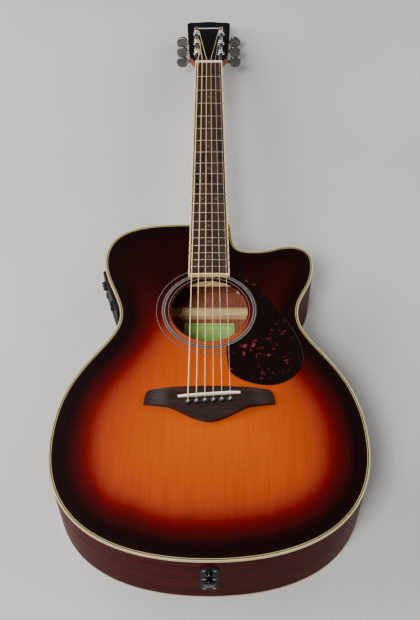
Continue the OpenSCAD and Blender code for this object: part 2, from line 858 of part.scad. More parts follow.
module tuner_case(k) {
  s = tuner_sign(k);
  inner = case_half - case_wall;
  difference() {
    union() {
      translate([-case_half, -case_back, -head_t - case_h])
        cube([2 * case_half, case_back + case_front, case_h]);
      translate([s * case_half, worm_offset, worm_z]) rotate([0, s * 90, 0])
        cylinder(h = collar_len, r = shaft_r + collar_wall);
      translate([-ear_len / 2, -case_back - ear_len, -head_t - ear_t])
        cube([ear_len, ear_len + 1, ear_t]);
    }
    translate([-inner, -case_back + case_wall, -head_t - case_h + case_wall])
      cube([2 * inner, case_back + case_front - 2 * case_wall, case_h - 2 * case_wall]);
    translate([0, 0, -head_t - case_wall - 1]) cylinder(h = case_wall + 2, r = post_r + run_fit);
    translate([0, worm_offset, worm_z]) rotate([0, s * 90, 0])
      cylinder(h = case_half + collar_len + 1, r = shaft_r + run_fit);
    translate([0, -case_back - ear_len / 2, -head_t - 3]) cylinder(h = 4, r = screw_r + inlay_fit);
  }
}

module tuner_housings() {
  color("silver") for (k = [1:6]) at_tuner(k) tuner_case(k);
}

module tuner_bushings() {
  color("silver") for (k = [1:6]) at_tuner(k) difference() {
    union() {
      translate([0, 0, -sleeve_len]) cylinder(h = sleeve_len + washer_t, r = bushing_r);
      cylinder(h = washer_t, r = washer_r);
      translate([0, 0, washer_t]) cylinder(h = hex_t, r = hex_r, $fn = 6);
    }
    translate([0, 0, -sleeve_len - 1]) cylinder(h = sleeve_len + 10, r = post_r + run_fit);
  }
}

// A screw pointing up, with its head below z = 0
module wood_screw() {
  cylinder(h = screw_len, r = screw_r);
  translate([0, 0, -screw_head_t]) cylinder(h = screw_head_t, r = screw_head_r);
}

module wood_screws() {
  color("silver") {
    laid() in_head() for (k = [1:6]) ear_screw_place(k)
      translate([0, 0, -ear_t]) wood_screw();
    laid() for (p = plate_screws)
      translate([p[0], tail_y - plate_th - screw_rise, plate_top + p[1]]) rotate([-90, 0, 0])
        wood_screw();
  }
}

// Button with its worm shaft, turned by hand
module tuner_button(k) {
  s = tuner_sign(k);
  half = button_size / 2;
  outline = [for (i = [0:31]) let (a = 360 * i / 32)
    [half[0] + half[0] * sign(cos(a)) * pow(abs(cos(a)), button_square),
     half[1] * sign(sin(a)) * pow(abs(sin(a)), button_square) * (1 - button_lean * cos(a))]];
  color("lightgray") at_tuner(k) translate([0, worm_offset, worm_z]) rotate([0, 0, 90 - s * 90]) {
    translate([-case_half + case_wall + free_gap, 0, 0]) rotate([0, 90, 0])
      cylinder(h = 2 * (case_half - case_wall - free_gap), r = worm_r);
    rotate([0, 90, 0]) cylinder(h = button_reach + 1, r = shaft_r);
    translate([button_reach - 2.5, 0, 0]) rotate([0, 90, 0]) cylinder(h = 5, r = button_collar_r);
    translate([button_reach, half[2], 0]) rotate([90, 0, 0]) linear_extrude(button_size[2])
      polygon(outline);
  }
}

// Post with its gear below and the string's turns above
module tuner_post(k) {
  low = -head_t - case_h + case_wall + free_gap;
  color("lightgray") at_tuner(k) {
    translate([0, 0, low]) cylinder(h = winding_z[0] - low, r = post_r);
    translate([0, 0, worm_z - gear_t / 2]) cylinder(h = gear_t, r = gear_r);
    translate([0, 0, winding_z[0]]) cylinder(h = winding_z[1] - winding_z[0], r = winding_r(k));
    translate([0, 0, winding_z[1]]) cylinder(h = post_h - winding_z[1] - 1, r = post_r - 0.2);
    translate([0, 0, post_h - 1]) cylinder(h = 1, r1 = post_r - 0.2, r2 = post_r - 0.9);
  }
}

module tuner_button_1() { tuner_button(1); }
module tuner_button_2() { tuner_button(2); }
module tuner_button_3() { tuner_button(3); }
module tuner_button_4() { tuner_button(4); }
module tuner_button_5() { tuner_button(5); }
module tuner_button_6() { tuner_button(6); }
module tuner_post_1() { tuner_post(1); }
module tuner_post_2() { tuner_post(2); }
module tuner_post_3() { tuner_post(3); }
module tuner_post_4() { tuner_post(4); }
module tuner_post_5() { tuner_post(5); }
module tuner_post_6() { tuner_post(6); }

// ---- strings ----

// String i from its ball under the bridge plate, over the saddle and the nut, to its post
module guitar_string(i) {
  r = string_radii[i];
  k = i + 1;
  pin = pin_place(i);
  under = -top_t - plate_t;
  x_saddle = spread(i, saddle_spread);
  x_nut = spread(i, nut_spread);
  seat = r + string_seat;
  post_side = post_x(k) - tuner_sign(k) * (winding_r(k) + free_gap + r);
  cord_tube([
    [pin[0], string_hole_y(i), under - 2],
    [pin[0], string_hole_y(i), bridge_t - 0.6],
    [x_saddle, saddle_y(x_saddle) - saddle_t / 2, saddle_top + seat - 0.1],
    [x_saddle, saddle_y(x_saddle), saddle_top + seat],
    [x_nut, nut_y, nut_floor + seat],
    [x_nut, nut_y + nut_t, nut_floor + seat],
    from_head([post_side, post_y(k), string_level])], r);
  translate([pin[0] - 1.5, pin[1] + pin_hole_r + ball_r - 0.5, under - ball_r - 0.1])
    rotate([0, 90, 0]) cylinder(h = 3, r = ball_r);
}

module plain_strings() {
  color("gainsboro") laid() for (i = [4, 5]) guitar_string(i);
}

module wound_strings() {
  color("goldenrod") laid() for (i = [0:3]) guitar_string(i);
}

// ---- preamp ----

module at_panel() {
  a = knot_curve(8, side_curve_from);
  b = knot_curve(8, side_curve_to);
  run = b - a;
  translate([(a[0] + b[0]) / 2, (a[1] + b[1]) / 2, panel_z])
    rotate([0, 0, atan2(run[1], run[0]) - 90]) children();
}

// A block of the cut-out's size standing out along x from the origin
module panel_cutout(depth, gap) {
  size = [depth, panel_len - 2 * panel_rim + 2 * gap, panel_h - 2 * panel_rim + 2 * gap];
  translate([0, -size[1] / 2, -size[2] / 2]) cube(size);
}

module preamp_housing() {
  w = housing_size[0];
  h = housing_size[1];
  color("black") laid() at_panel() difference() {
    translate([-plug_depth - housing_len, -w / 2, -h / 2]) cube([housing_len, w, h]);
    translate([-plug_depth - housing_len + housing_wall, -w / 2 + housing_wall,
               -h / 2 + housing_wall])
      cube([housing_len, w - 2 * housing_wall, h - 2 * housing_wall]);
  }
}

// The circuit board stands on edge at the head end of the case
module circuit_board() {
  color("green") laid() at_panel()
    translate([-plug_depth - housing_len + housing_wall, -housing_size[0] / 2 + housing_wall,
               -circuit_size[1] / 2])
      cube([housing_len - housing_wall - circuit_gap, circuit_size[0], circuit_size[1]]);
}

module preamp_panel() {
  color("dimgray") laid() difference() {
    union() {
      difference() {
        at_panel() translate([-panel_bow, -panel_len / 2, -panel_h / 2])
          cube([panel_bow + panel_stand, panel_len, panel_h]);
        prism(-tail_depth - 20, 1) body_outline(0);
      }
      at_panel() translate([-plug_depth, 0, 0]) panel_cutout(plug_depth + 2, 0);
    }
    at_panel() {
      for (z = slider_zs)
        translate([-plug_depth - 1, slider_y - slider_travel / 2 - stem[1] / 2 - free_gap,
                   z - slot_half_h])
          cube([far / 8, slider_travel + stem[1] + 2 * free_gap, 2 * slot_half_h]);
      translate([-plug_depth - 1, knob_y, knob_z]) rotate([0, 90, 0])
        cylinder(h = far / 8, r = knob_shaft_r + run_fit);
      translate([-plug_depth - 1, knob_y, switch_z]) rotate([0, 90, 0])
        cylinder(h = far / 8, r = switch_r + run_fit);
      translate([-plug_depth - 1, drawer_y - drawer_face[0] / 2 - free_gap,
                 drawer_z - drawer_face[1] / 2 - free_gap])
        cube([far / 8, drawer_face[0] + 2 * free_gap, drawer_face[1] + 2 * free_gap]);
    }
  }
}

module volume_knob() {
  color("black") laid() at_panel() translate([0, knob_y, knob_z]) rotate([0, 90, 0]) difference() {
    union() {
      translate([0, 0, panel_stand + free_gap]) cylinder(h = knob_h, r = knob_r);
      translate([0, 0, -plug_depth - stem_back])
        cylinder(h = stem_back + plug_depth + panel_stand + 1, r = knob_shaft_r);
    }
    translate([-knob_mark[0] / 2, knob_r - knob_mark[1] + 0.5, panel_stand + knob_h - knob_mark[2]])
      cube([knob_mark[0], knob_mark[1], 1]);
  }
}

module tone_slider(n) {
  color("black") laid() at_panel() translate([0, slider_y, slider_zs[n]]) {
    translate([panel_stand + free_gap, -slider_cap[1] / 2, -slider_cap[2] / 2])
      cube([slider_cap[0], slider_cap[1], slider_cap[2]]);
    translate([-plug_depth - stem_back, -stem[1] / 2, -stem[0] / 2])
      cube([stem_back + plug_depth + panel_stand + 1, stem[1], stem[0]]);
  }
}

module slider_bass() { tone_slider(0); }
module slider_middle() { tone_slider(1); }
module slider_treble() { tone_slider(2); }

module tuner_switch() {
  color("dimgray") laid() at_panel() translate([-plug_depth - stem_back, knob_y, switch_z])
    rotate([0, 90, 0])
      cylinder(h = stem_back + plug_depth + panel_stand + switch_stand, r = switch_r);
}

module battery_drawer() {
  low_z = drawer_z - drawer_face[1] / 2;
  low_y = drawer_y - drawer_face[0] / 2;
  color("black") laid() at_panel() {
    translate([-plug_depth, low_y, low_z])
      cube([plug_depth + panel_stand + drawer_proud, drawer_face[0], drawer_face[1]]);
    translate([-plug_depth - cell[0] - 1, low_y, low_z]) difference() {
      cube([cell[0] + 2, drawer_face[0], drawer_face[1] - drawer_wall - drawer_dip]);
      translate([-1, drawer_wall, drawer_wall])
        cube([cell[0] + 2, drawer_face[0] - 2 * drawer_wall, drawer_face[1]]);
    }
  }
}

module battery() {
  color("gold") laid() at_panel()
    translate([-plug_depth - cell[0], drawer_y - cell[1] / 2,
               drawer_z - drawer_face[1] / 2 + drawer_wall])
      cube(cell);
}

// ---- end plate ----

module oblong(w, length) {
  for (s = [-1, 1]) translate([0, s * (length - w) / 2]) circle(d = w);
  square([w, length - w], center = true);
}

module jack_plate() {
  color("black") laid() difference() {
    translate([0, tail_y - plate_th, plate_top - plate_len / 2]) rotate([-90, 0, 0])
      linear_extrude(plate_th + 3) oblong(plate_w, plate_len);
    prism(-tail_depth - 20, 1) body_outline(0);
    tail_holes();
  }
}

module output_jack() {
  color("silver") laid() translate([0, tail_y - plate_th - jack_flange_t, jack_z])
    rotate([-90, 0, 0]) difference() {
      union() {
        cylinder(h = jack_len, r = jack_r);
        cylinder(h = jack_flange_t, r = jack_flange_r, $fn = 6);
      }
      translate([0, 0, -1]) cylinder(h = jack_len, r = jack_bore_r);
    }
}

module strap_button() {
  color("silver") laid() translate([0, tail_y - plate_th, strap_z]) rotate([90, 0, 0]) {
    rotate_extrude() polygon(strap_profile);
    translate([0, 0, -strap_screw_len]) cylinder(h = strap_screw_len + 1, r = strap_screw_r);
  }
}

soundboard();
back_plate();
side_bass();
side_treble();
binding_top();
binding_back();
purfling();
linings();
neck_block();
tail_block();
top_braces();
back_braces();
bridge_plate();
rosette();
pickguard();
bridge();
saddle();
saddle_pickup();
bridge_pins();
label();
neck();
heel_cap();
fingerboard();
fingerboard_binding();
frets();
position_markers();
head_veneer();
nut();
truss_rod();
truss_rod_nut();
tuner_housings();
tuner_bushings();
wood_screws();
tuner_button_1();
tuner_button_2();
tuner_button_3();
tuner_button_4();
tuner_button_5();
tuner_button_6();
tuner_post_1();
tuner_post_2();
tuner_post_3();
tuner_post_4();
tuner_post_5();
tuner_post_6();
plain_strings();
wound_strings();
preamp_housing();
preamp_panel();
circuit_board();
volume_knob();
slider_bass();
slider_middle();
slider_treble();
tuner_switch();
battery_drawer();
battery();
jack_plate();
output_jack();
strap_button();
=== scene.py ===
"""A cutaway acoustic guitar with an undersaddle pickup: its looks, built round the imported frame.

Sizes are millimetres in the top's own frame, as in the CAD source: z = 0 is the soundboard's outer face, y = 0 the
nominal saddle line and +x the treble side. LAID tips that frame so that the sloping back lies level, in metres."""
from math import atan, copysign, cos, degrees, exp, hypot, pi, radians, sin, tan

import bmesh
import bpy
import numpy as np
from mathutils import Matrix, Vector


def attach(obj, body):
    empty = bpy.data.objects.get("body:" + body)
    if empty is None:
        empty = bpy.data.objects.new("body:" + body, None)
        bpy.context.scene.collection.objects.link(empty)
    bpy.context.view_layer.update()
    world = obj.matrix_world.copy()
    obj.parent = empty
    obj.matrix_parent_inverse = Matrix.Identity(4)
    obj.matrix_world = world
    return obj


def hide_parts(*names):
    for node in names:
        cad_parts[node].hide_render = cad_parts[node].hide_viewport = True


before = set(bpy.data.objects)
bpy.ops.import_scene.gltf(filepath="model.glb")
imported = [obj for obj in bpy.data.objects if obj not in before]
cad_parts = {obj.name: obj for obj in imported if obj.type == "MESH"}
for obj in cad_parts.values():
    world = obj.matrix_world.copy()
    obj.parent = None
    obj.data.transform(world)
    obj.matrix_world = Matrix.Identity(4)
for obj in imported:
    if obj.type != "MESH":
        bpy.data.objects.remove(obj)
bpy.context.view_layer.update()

# ---- sizes, as in the CAD source ----

# The few that differ say so: they are for looks, and keep to the places of the CAD's pieces.
scale_length = 634
nut_w = 44
joint_w = 53.5
fret_count = 20
board_t = 6.5
shaft_depth_nut = 14.5
shaft_depth_heel = 17
nut_spread = 35.5
saddle_spread = 51.5
head_tilt = radians(14)
head_len = 172
head_t = 13
head_w_low = 63
head_w_top = 76
tuner_pitch = 41
post_r = 3
body_len = 498
lower_bout_w = 382
waist_w = 234
upper_bout_w = 285
tail_depth = 110
joint_depth = 90
hole_r = 51
top_t = 3
back_t = 3
side_t = 2.4
binding_w = 2.4
top_binding_w = 1.7      # with its purfling it fills the same ledge as in the CAD source
binding_h = 3.5          # slimmer than in the CAD source
panel_len = 78
panel_h = 58
panel_stand = 4.5
knob_r = 6.5
slider_travel = 16
free_gap = 0.3
clear = 20              # a cutting tool reaches this far, past whatever it cuts


def fret_y(n):
    return scale_length * 2 ** (-n / 12)


# Stations along the body, from the neck joint at the fourteenth fret
joint_y = fret_y(14) + 0.6
tail_y = joint_y - body_len
lower_y = tail_y + 145
waist_y = tail_y + 337
upper_y = tail_y + 432
hole_y = joint_y - 152
back_slope = atan((tail_depth - joint_depth) / body_len)


def depth_at(y):
    return tail_depth - (y - tail_y) * tan(back_slope)


heel_half = 30
body_knots = [
    ((0, tail_y), (108, 0), (108, 0)),
    ((lower_bout_w / 2, lower_y), (0, 105), (0, 115)),
    ((waist_w / 2, waist_y), (0, 51), (0, 36)),
    ((142.5, tail_y + 427), (0, 47), (0, 15)),
    ((113, tail_y + 456), (-20, 0), (-20, 0)),
    ((64, tail_y + 447.5), (-23, 0), (-38, 0)),
    ((heel_half, joint_y), (-6, 34), (-20, 0)),
    ((-heel_half, joint_y), (-20, 0), (-58, 0)),
    ((-upper_bout_w / 2, upper_y), (0, -60), (0, -36)),
    ((-waist_w / 2, waist_y), (0, -29), (0, -51)),
    ((-lower_bout_w / 2, lower_y), (0, -115), (0, -105)),
]
purfling_w = 1.6
light_line = (2.9, 3.5)     # how far in from the edge the purfling's light line lies
lining_w = 6
lining_h = 12
block_len = 54
block_half = 36
tail_block_half = 38
tail_block_t = 18
back_brace = (13, 14)    # width and height
back_brace_ys = [hole_y + 58, hole_y - 46, hole_y - 156, hole_y - 262]
label_size = (71.5, 80)
label_y = hole_y + 4
rosette_t = 1.2
bridge_half = 80.6
bridge_t = 8.5
wing_t = 4
scoop_from = 46          # gentler than in the CAD source
scoop_to = 78
belly_y = -40
belly_fall = 3.2
bridge_front_y = 7
saddle_mid_y = -5.4
saddle_angle = radians(4.1)
saddle_len = 77
saddle_t = 3
saddle_top = 12
slot_floor = 1.4
pickup_t = 1.2
pin_behind = 8.4
pin_hole_r = 2.7
pin_head_r = 3.9
plate_t = 2.4
guard_t = 1.2
guard_arc_r = hole_r + 12
string_radii = [0.67, 0.53, 0.41, 0.30, 0.20, 0.15]
ball_r = 1.9
nut_t = 6
nut_floor = board_t + 1.5
nut_h = 9.2
nut_fall = 2.6
board_end = hole_y + 55.5
board_binding = 1.7
fret_r = 1.15
crown_half = fret_r - 0.3       # the crown is narrower than the CAD's profile
dot_frets = [3, 5, 7, 9, 15, 17, 19]
dot_r = 2.6
twelfth_dot_x = 10
nut_y = scale_length
head_y = nut_y + nut_t
head_z = 2
heel_y = joint_y + 19
heel_reach = 46
heel_cap_t = 2.5
cap_rise = 0.4
heel_taper = 0.42
veneer_t = 1.5
inlay_len = 44
inlay_w = 4.4
inlay_y = 142.5
first_post_y = 35
post_x_low = 19.8
post_x_top = 21.6
post_hole_z = 10.6
string_level = 6
worm_offset = 7.4
worm_r = 2.3
gear_r = worm_offset - worm_r - free_gap
gear_t = 4
case_wall = 1.3
case_h = 10
case_half = 7.8
case_back = 6.9
case_front = worm_offset + 4.6
worm_z = -head_t - case_h / 2
shaft_r = 2
button_reach = 16
button_size = (18.5, 19, 5)
ear_len = 6
bush_r = post_r + 0.05      # the bushing's bore
panel_z = -12 - panel_h / 2
panel_ends = (0.07, 0.83)   # where the panel lies along the curve from the upper bout to the waist
panel_rim = 5
plug_depth = 5
cell = (48.5, 26.5, 17.5)
drawer_wall = 1.2
drawer_face = (29.4, 20.4)
drawer_y = 13
drawer_z = -panel_h / 2 + panel_rim + 4 + drawer_face[1] / 2
drawer_proud = 0.6
slider_zs = [19.5, 12.5, 5.5]
slot_half_h = 0.9
stem = (1.2, 3)
slider_cap = (4, 5, 4.4)
knob_y = -panel_len / 2 + 14
knob_z = 11
knob_h = 5
switch_z = -12
switch_r = 3.4
switch_stand = 2
stem_low = -plug_depth - 4      # the controls' stems reach this deep, to the circuit board
plate_w = 22
plate_len = 70
plate_th = 1.6
plate_top = -14
strap_z = plate_top - 19
jack_z = plate_top - 48
jack_bore_r = 3.25
jack_r = 4.7
jack_len = 31
plate_screws = [(-6, -8), (6, -8), (-6, -33), (6, -33), (-6, -61), (6, -61)]

# ---- places ----

def shift(x, y, z):
    return Matrix.Translation((x, y, z))


def swing(angle, axis):
    return Matrix.Rotation(angle, 4, axis)


LAID = shift(0, 0, depth_at(0) * cos(back_slope) / 1000) @ swing(-back_slope, "X") @ Matrix.Scale(0.001, 4)
HEAD = shift(0, head_y, head_z) @ swing(-head_tilt, "X")


def board_w(y):
    return nut_w + (joint_w - nut_w) * (nut_y - y) / (nut_y - fret_y(14))


def spread(i, width):
    return (i - 2.5) * width / 5


def saddle_y(x):
    return saddle_mid_y + x * tan(saddle_angle)


def pin_place(i):
    x = spread(i, saddle_spread)
    return Vector((x, saddle_y(x) - pin_behind, bridge_t))


def tuner_side(k):
    return -1 if k <= 3 else 1


def post_place(k):
    step = k - 1 if k <= 3 else 6 - k
    x = tuner_side(k) * (post_x_low + (post_x_top - post_x_low) * step / 2)
    return Vector((x, first_post_y + tuner_pitch * step, 0))


def at_tuner(k):
    return HEAD @ Matrix.Translation(post_place(k))


# ---- outlines ----

def bezier(a, b, c, d, t):
    return a * (1 - t) ** 3 + b * 3 * t * (1 - t) ** 2 + c * 3 * t * t * (1 - t) + d * t ** 3


def chain(knots, steps):
    """Points along a row of curves. A knot is a point, the handle that arrives and the handle that leaves."""
    points = []
    for (a, _, leaving), (b, arriving, _) in zip(knots, knots[1:]):
        a, b, leaving, arriving = (Vector(v) for v in (a, b, leaving, arriving))
        points += [bezier(a, a + leaving, b - arriving, b, i / steps) for i in range(steps)]
    return points + [Vector(knots[-1][0])]


def both_halves(half):
    """A closed outline whose treble half is given."""
    return half + [Vector((-p.x, p.y)) for p in reversed(half) if p.x > 0]


curve_steps = 32
treble_rim = chain(body_knots[:7], curve_steps) + [Vector((0, joint_y))]
bass_rim = [Vector((0, joint_y))] + chain(body_knots[7:] + body_knots[:1], curve_steps)
body_outline = treble_rim + bass_rim[1:-1]


def nearest(points, x, y):
    """The nearest place on a line of points: its distance, the run that it is on and how far along that run."""
    runs = np.diff(points, axis=0)
    offset = np.array((x, y)) - points[:-1]
    along = np.clip((offset * runs).sum(1) / (runs ** 2).sum(1), 0, 1)
    away = ((offset - along[:, None] * runs) ** 2).sum(1)
    best = int(away.argmin())
    return float(np.sqrt(away[best])), best, float(along[best])


closed_rim = np.array([tuple(p) for p in body_outline + body_outline[:1]])


def rim_distance(x, y):
    """How far a place on the top lies from the body's edge."""
    return nearest(closed_rim, x, y)[0]


def panel_frame():
    """The control panel's frame: x out of the side, y towards the tail, z up."""
    a, _, leaving = body_knots[8]
    b, arriving, _ = body_knots[9]
    a, b, leaving, arriving = (Vector(v) for v in (a, b, leaving, arriving))
    first, last = (bezier(a, a + leaving, b - arriving, b, t) for t in panel_ends)
    middle, run = (first + last) / 2, last - first
    turn = swing(np.arctan2(run.y, run.x) - pi / 2, "Z")
    return shift(middle.x, middle.y, panel_z) @ turn


PANEL = panel_frame()

# ---- shaping ----

def thicken(bm, faces, height):
    """Draws flat faces up into a solid."""
    risen = bmesh.ops.extrude_face_region(bm, geom=faces)["geom"]
    bmesh.ops.translate(bm, verts=[v for v in risen if isinstance(v, bmesh.types.BMVert)], vec=(0, 0, height))
    bmesh.ops.recalc_face_normals(bm, faces=bm.faces)
    return bm


def slab(outline, low, high):
    """A flat piece of that outline between two heights."""
    bm = bmesh.new()
    face = bm.faces.new([bm.verts.new((p[0], p[1], low)) for p in outline])
    return thicken(bm, [face], high - low)


def bar(low, high):
    """A square-cornered block between two corners."""
    bm = bmesh.new()
    low, high = Vector(low), Vector(high)
    bmesh.ops.create_cube(bm, size=1)
    bmesh.ops.scale(bm, verts=bm.verts, vec=high - low)
    bmesh.ops.translate(bm, verts=bm.verts, vec=(low + high) / 2)
    return bm


def turned(profile, steps=32):
    """A lathe-turned piece from its half section, given as radius and height."""
    bm = bmesh.new()
    verts = [bm.verts.new((r, 0, z)) for r, z in profile]
    edges = [bm.edges.new(pair) for pair in zip(verts, verts[1:])]
    bmesh.ops.spin(bm, geom=verts + edges, cent=(0, 0, 0), axis=(0, 0, 1), dvec=(0, 0, 0), angle=2 * pi,
                   steps=steps, use_merge=True)
    bmesh.ops.remove_doubles(bm, verts=bm.verts, dist=1e-4)
    bmesh.ops.recalc_face_normals(bm, faces=bm.faces)
    return bm


def loft(rings):
    """A closed skin through rings of points, all of one count."""
    bm = bmesh.new()
    hoops = []
    for ring in rings:
        verts = [bm.verts.new(p) for p in ring]
        hoops.append([bm.edges.new(pair) for pair in zip(verts, verts[1:] + verts[:1])])
    for near, far in zip(hoops, hoops[1:]):
        bmesh.ops.bridge_loops(bm, edges=near + far)
    for end in (hoops[0], hoops[-1]):
        bmesh.ops.contextual_create(bm, geom=end)
    bmesh.ops.recalc_face_normals(bm, faces=bm.faces)
    return bm


def wire(path, r, sides=8, aside=(1, 0, 0)):
    """A round wire along a path that never runs along aside."""
    rings = []
    for k, point in enumerate(path):
        run = path[min(k + 1, len(path) - 1)] - path[max(k - 1, 0)]
        across = run.cross(Vector(aside)).normalized()
        up = across.cross(run).normalized()
        rings.append([point + r * (cos(a) * across + sin(a) * up)
                      for a in (2 * pi * s / sides for s in range(sides))])
    return loft(rings)


def moved(bm, *places):
    """The piece carried to a place: several matrices are applied from the last to the first."""
    for place in reversed(places):
        bmesh.ops.transform(bm, matrix=place, verts=bm.verts)
    return bm


def round_off(bm, width, segments=3, limit=35, where=None):
    """Rounds the edges that are sharper than a limit, in degrees, where the test says so."""
    edges = [e for e in bm.edges if e.is_manifold and degrees(e.calc_face_angle()) > limit
             and (where is None or all(where(v.co) for v in e.verts))]
    bmesh.ops.bevel(bm, geom=edges, offset=width, offset_type="OFFSET", segments=segments, affect="EDGES",
                    profile=0.5, material=-1, clamp_overlap=True)
    return bm


def slice_up(bm, axis, stations):
    """Cuts a piece across an axis at each station, so that it can bend or take a shade there."""
    direction = Vector([float(i == axis) for i in range(3)])
    for at in stations:
        bmesh.ops.bisect_plane(bm, geom=bm.verts[:] + bm.edges[:] + bm.faces[:], dist=1e-4,
                               plane_co=direction * at, plane_no=direction)
    return bm


def gather(bm, *parts, index=None):
    """Puts other pieces into a piece, with one finish for them all if an index is given."""
    for part in parts:
        if index is not None:
            for face in part.faces:
                face.material_index = index
        mesh = bpy.data.meshes.new("part")
        part.to_mesh(mesh)
        part.free()
        bm.from_mesh(mesh)
        bpy.data.meshes.remove(mesh)
    return bm


def carve(bm, tool, how="DIFFERENCE"):
    """Cuts a tool out of a piece, or joins it on with UNION."""
    pair = []
    for shape in (bm, tool):
        mesh = bpy.data.meshes.new("part")
        shape.to_mesh(mesh)
        shape.free()
        pair.append(bpy.data.objects.new("part", mesh))
        bpy.context.scene.collection.objects.link(pair[-1])
    cut = pair[0].modifiers.new("cut", "BOOLEAN")
    cut.operation = how
    cut.solver = "EXACT"
    cut.object = pair[1]
    result = bmesh.new()
    result.from_object(pair[0], bpy.context.evaluated_depsgraph_get())
    for obj in pair:
        bpy.data.meshes.remove(obj.data)
    return result


def draw_in(bm, face, inset):
    """Insets a face, and returns the ring of faces that the inset leaves round it."""
    return bmesh.ops.inset_region(bm, faces=[face], thickness=inset, use_even_offset=True,
                                  use_boundary=True)["faces"]


def body_face(z, inset):
    """A flat face inside the body's outline, drawn in by an inset, and the ring round it."""
    bm = bmesh.new()
    face = bm.faces.new([bm.verts.new((p.x, p.y, z)) for p in body_outline])
    face.normal_update()
    return bm, face, draw_in(bm, face, inset) if inset else []


def band(outer, inner, low, high):
    """A band along the body's edge, between two insets and two heights."""
    bm, face, waste = body_face(low, outer)
    bmesh.ops.delete(bm, geom=waste, context="FACES")
    ring = draw_in(bm, face, inner - outer)
    bmesh.ops.delete(bm, geom=[face], context="FACES")
    return thicken(bm, ring, high - low)


def inset_outline(inset):
    """The body's outline, drawn in by an inset."""
    bm, face, _ = body_face(0, inset)
    points = [v.co.xy.copy() for v in face.verts]
    bm.free()
    return points


def onto_back(bm):
    """Tips a piece drawn on z = 0 so that it lies on the back's outer face."""
    for v in bm.verts:
        v.co.z -= depth_at(v.co.y)
    return bm


def piece(name, bm, finishes, body="guitar", nodes=None, smooth=35):
    """Makes the finished piece, which rides a body and stands for CAD nodes."""
    moved(bm, LAID)
    mesh = bpy.data.meshes.new(name)
    bm.to_mesh(mesh)
    bm.free()
    for finish in finishes:
        mesh.materials.append(finish)
    mesh.shade_smooth()
    mesh.set_sharp_from_angle(angle=radians(smooth))
    obj = bpy.data.objects.new(name, mesh)
    bpy.context.scene.collection.objects.link(obj)
    flat = obj.modifiers.new("flat_faces", "WEIGHTED_NORMAL")      # keeps broad faces flat beside rounded edges
    flat.keep_sharp = True
    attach(obj, body)
    if nodes:
        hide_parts(*nodes)
    return obj


def dress(node, finish, bevel):
    """Gives a CAD node that stays its finish, with its sharp edges broken."""
    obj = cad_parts[node]
    obj.data.materials.clear()
    obj.data.materials.append(finish)
    obj.modifiers.new("weld", "WELD").merge_threshold = 1e-6
    edge = obj.modifiers.new("edges", "BEVEL")
    edge.width = bevel / 1000
    edge.segments = 2
    edge.limit_method = "ANGLE"
    edge.angle_limit = radians(40)


def mark(obj, name, measure):
    """Writes a number that the finish reads to each point of a piece, from its place in the top's frame."""
    back = LAID.inverted()
    values = [measure(back @ v.co) for v in obj.data.vertices]
    obj.data.attributes.new(name, "FLOAT", "POINT").data.foreach_set("value", values)


# ---- finishes ----

def tint(code):
    """An sRGB hex colour as linear red, green, blue and alpha."""
    parts = [int(code[i:i + 2], 16) / 255 for i in (1, 3, 5)]
    return [c / 12.92 if c <= 0.04045 else ((c + 0.055) / 1.055) ** 2.4 for c in parts] + [1]


def add(tree, kind, settings={}, links={}):
    """Adds one node. A setting is a property, a ramp's stops or an input; a link feeds an input."""
    node = tree.nodes.new("ShaderNode" + kind)
    for key, value in settings.items():
        if key == "stops":
            elements = node.color_ramp.elements
            while len(elements) < len(value):
                elements.new(1)
            for element, (at, colour) in zip(elements, value):
                element.position = at
                element.color = tint(colour)
        elif isinstance(key, str) and hasattr(node, key):
            setattr(node, key, value)
        else:
            node.inputs[key].default_value = value
    for key, source in links.items():
        tree.links.new(source, node.inputs[key])
    return node


def material(name, build, sideways=False, **looks):
    """A material from the function that builds its pattern and its shader on Object coordinates."""
    made = bpy.data.materials.new(name)
    made.use_nodes = True
    tree = made.node_tree
    tree.nodes.clear()
    where = add(tree, "TexCoord").outputs["Object"]
    if sideways:
        where = add(tree, "Mapping", {"Rotation": (0, 0, pi / 2)}, {"Vector": where}).outputs[0]
    shader = build(tree, where, **looks)
    add(tree, "OutputMaterial", links={"Surface": shader.outputs[0]})
    return made


def marks(tree, where, across, along=None, detail=2.0):
    """A pattern sized in millimetres: even blotches, or fibre drawn out along y where a length is given too."""
    size = (across, along or across, across)
    drawn = add(tree, "Mapping", {"Scale": [1000 / mm for mm in size]}, {"Vector": where})
    return add(tree, "TexNoise", {"Scale": 1.0, "Detail": detail, "Roughness": 0.6 if along else 0.5},
               {"Vector": drawn.outputs[0]}).outputs[0]


def surfaced(tree, colour, surface, height=None, bump=None, rough=None):
    """The shader. A bump is a strength and a depth in millimetres; rough is the range that the pattern spans."""
    links = {"Base Color": colour}
    if rough:
        links["Roughness"] = add(tree, "MapRange", {"To Min": rough[0], "To Max": rough[1]},
                                 {"Value": height}).outputs[0]
    if bump:
        links["Normal"] = add(tree, "Bump", {"Strength": bump[0], "Distance": bump[1] / 1000},
                              {"Height": height}).outputs[0]
    return add(tree, "BsdfPrincipled", surface, links)


def patterned(tree, where, size, shades, surface, bump=None, rough=None):
    """One pattern shades the material, and gives it its relief and its wear."""
    pattern = marks(tree, where, *size)
    colour = add(tree, "ValToRGB", {"stops": shades}, {"Fac": pattern})
    return surfaced(tree, colour.outputs[0], surface, pattern, bump, rough)


def stained(tree, where, pores, figure, ground, dark, depth, surface, bump):
    """Wood whose slow figure sets its colour, darkened along its pores."""
    holes, ribbon = marks(tree, where, *pores), marks(tree, where, *figure)
    colour = add(tree, "ValToRGB", {"stops": ground}, {"Fac": ribbon})
    darker = add(tree, "ValToRGB", {"stops": dark}, {"Fac": holes})
    both = add(tree, "Mix", {"data_type": "RGBA", "blend_type": "MULTIPLY", "Factor": depth},
               {6: colour.outputs[0], 7: darker.outputs[0]})
    return surfaced(tree, both.outputs[2], surface, holes, bump)


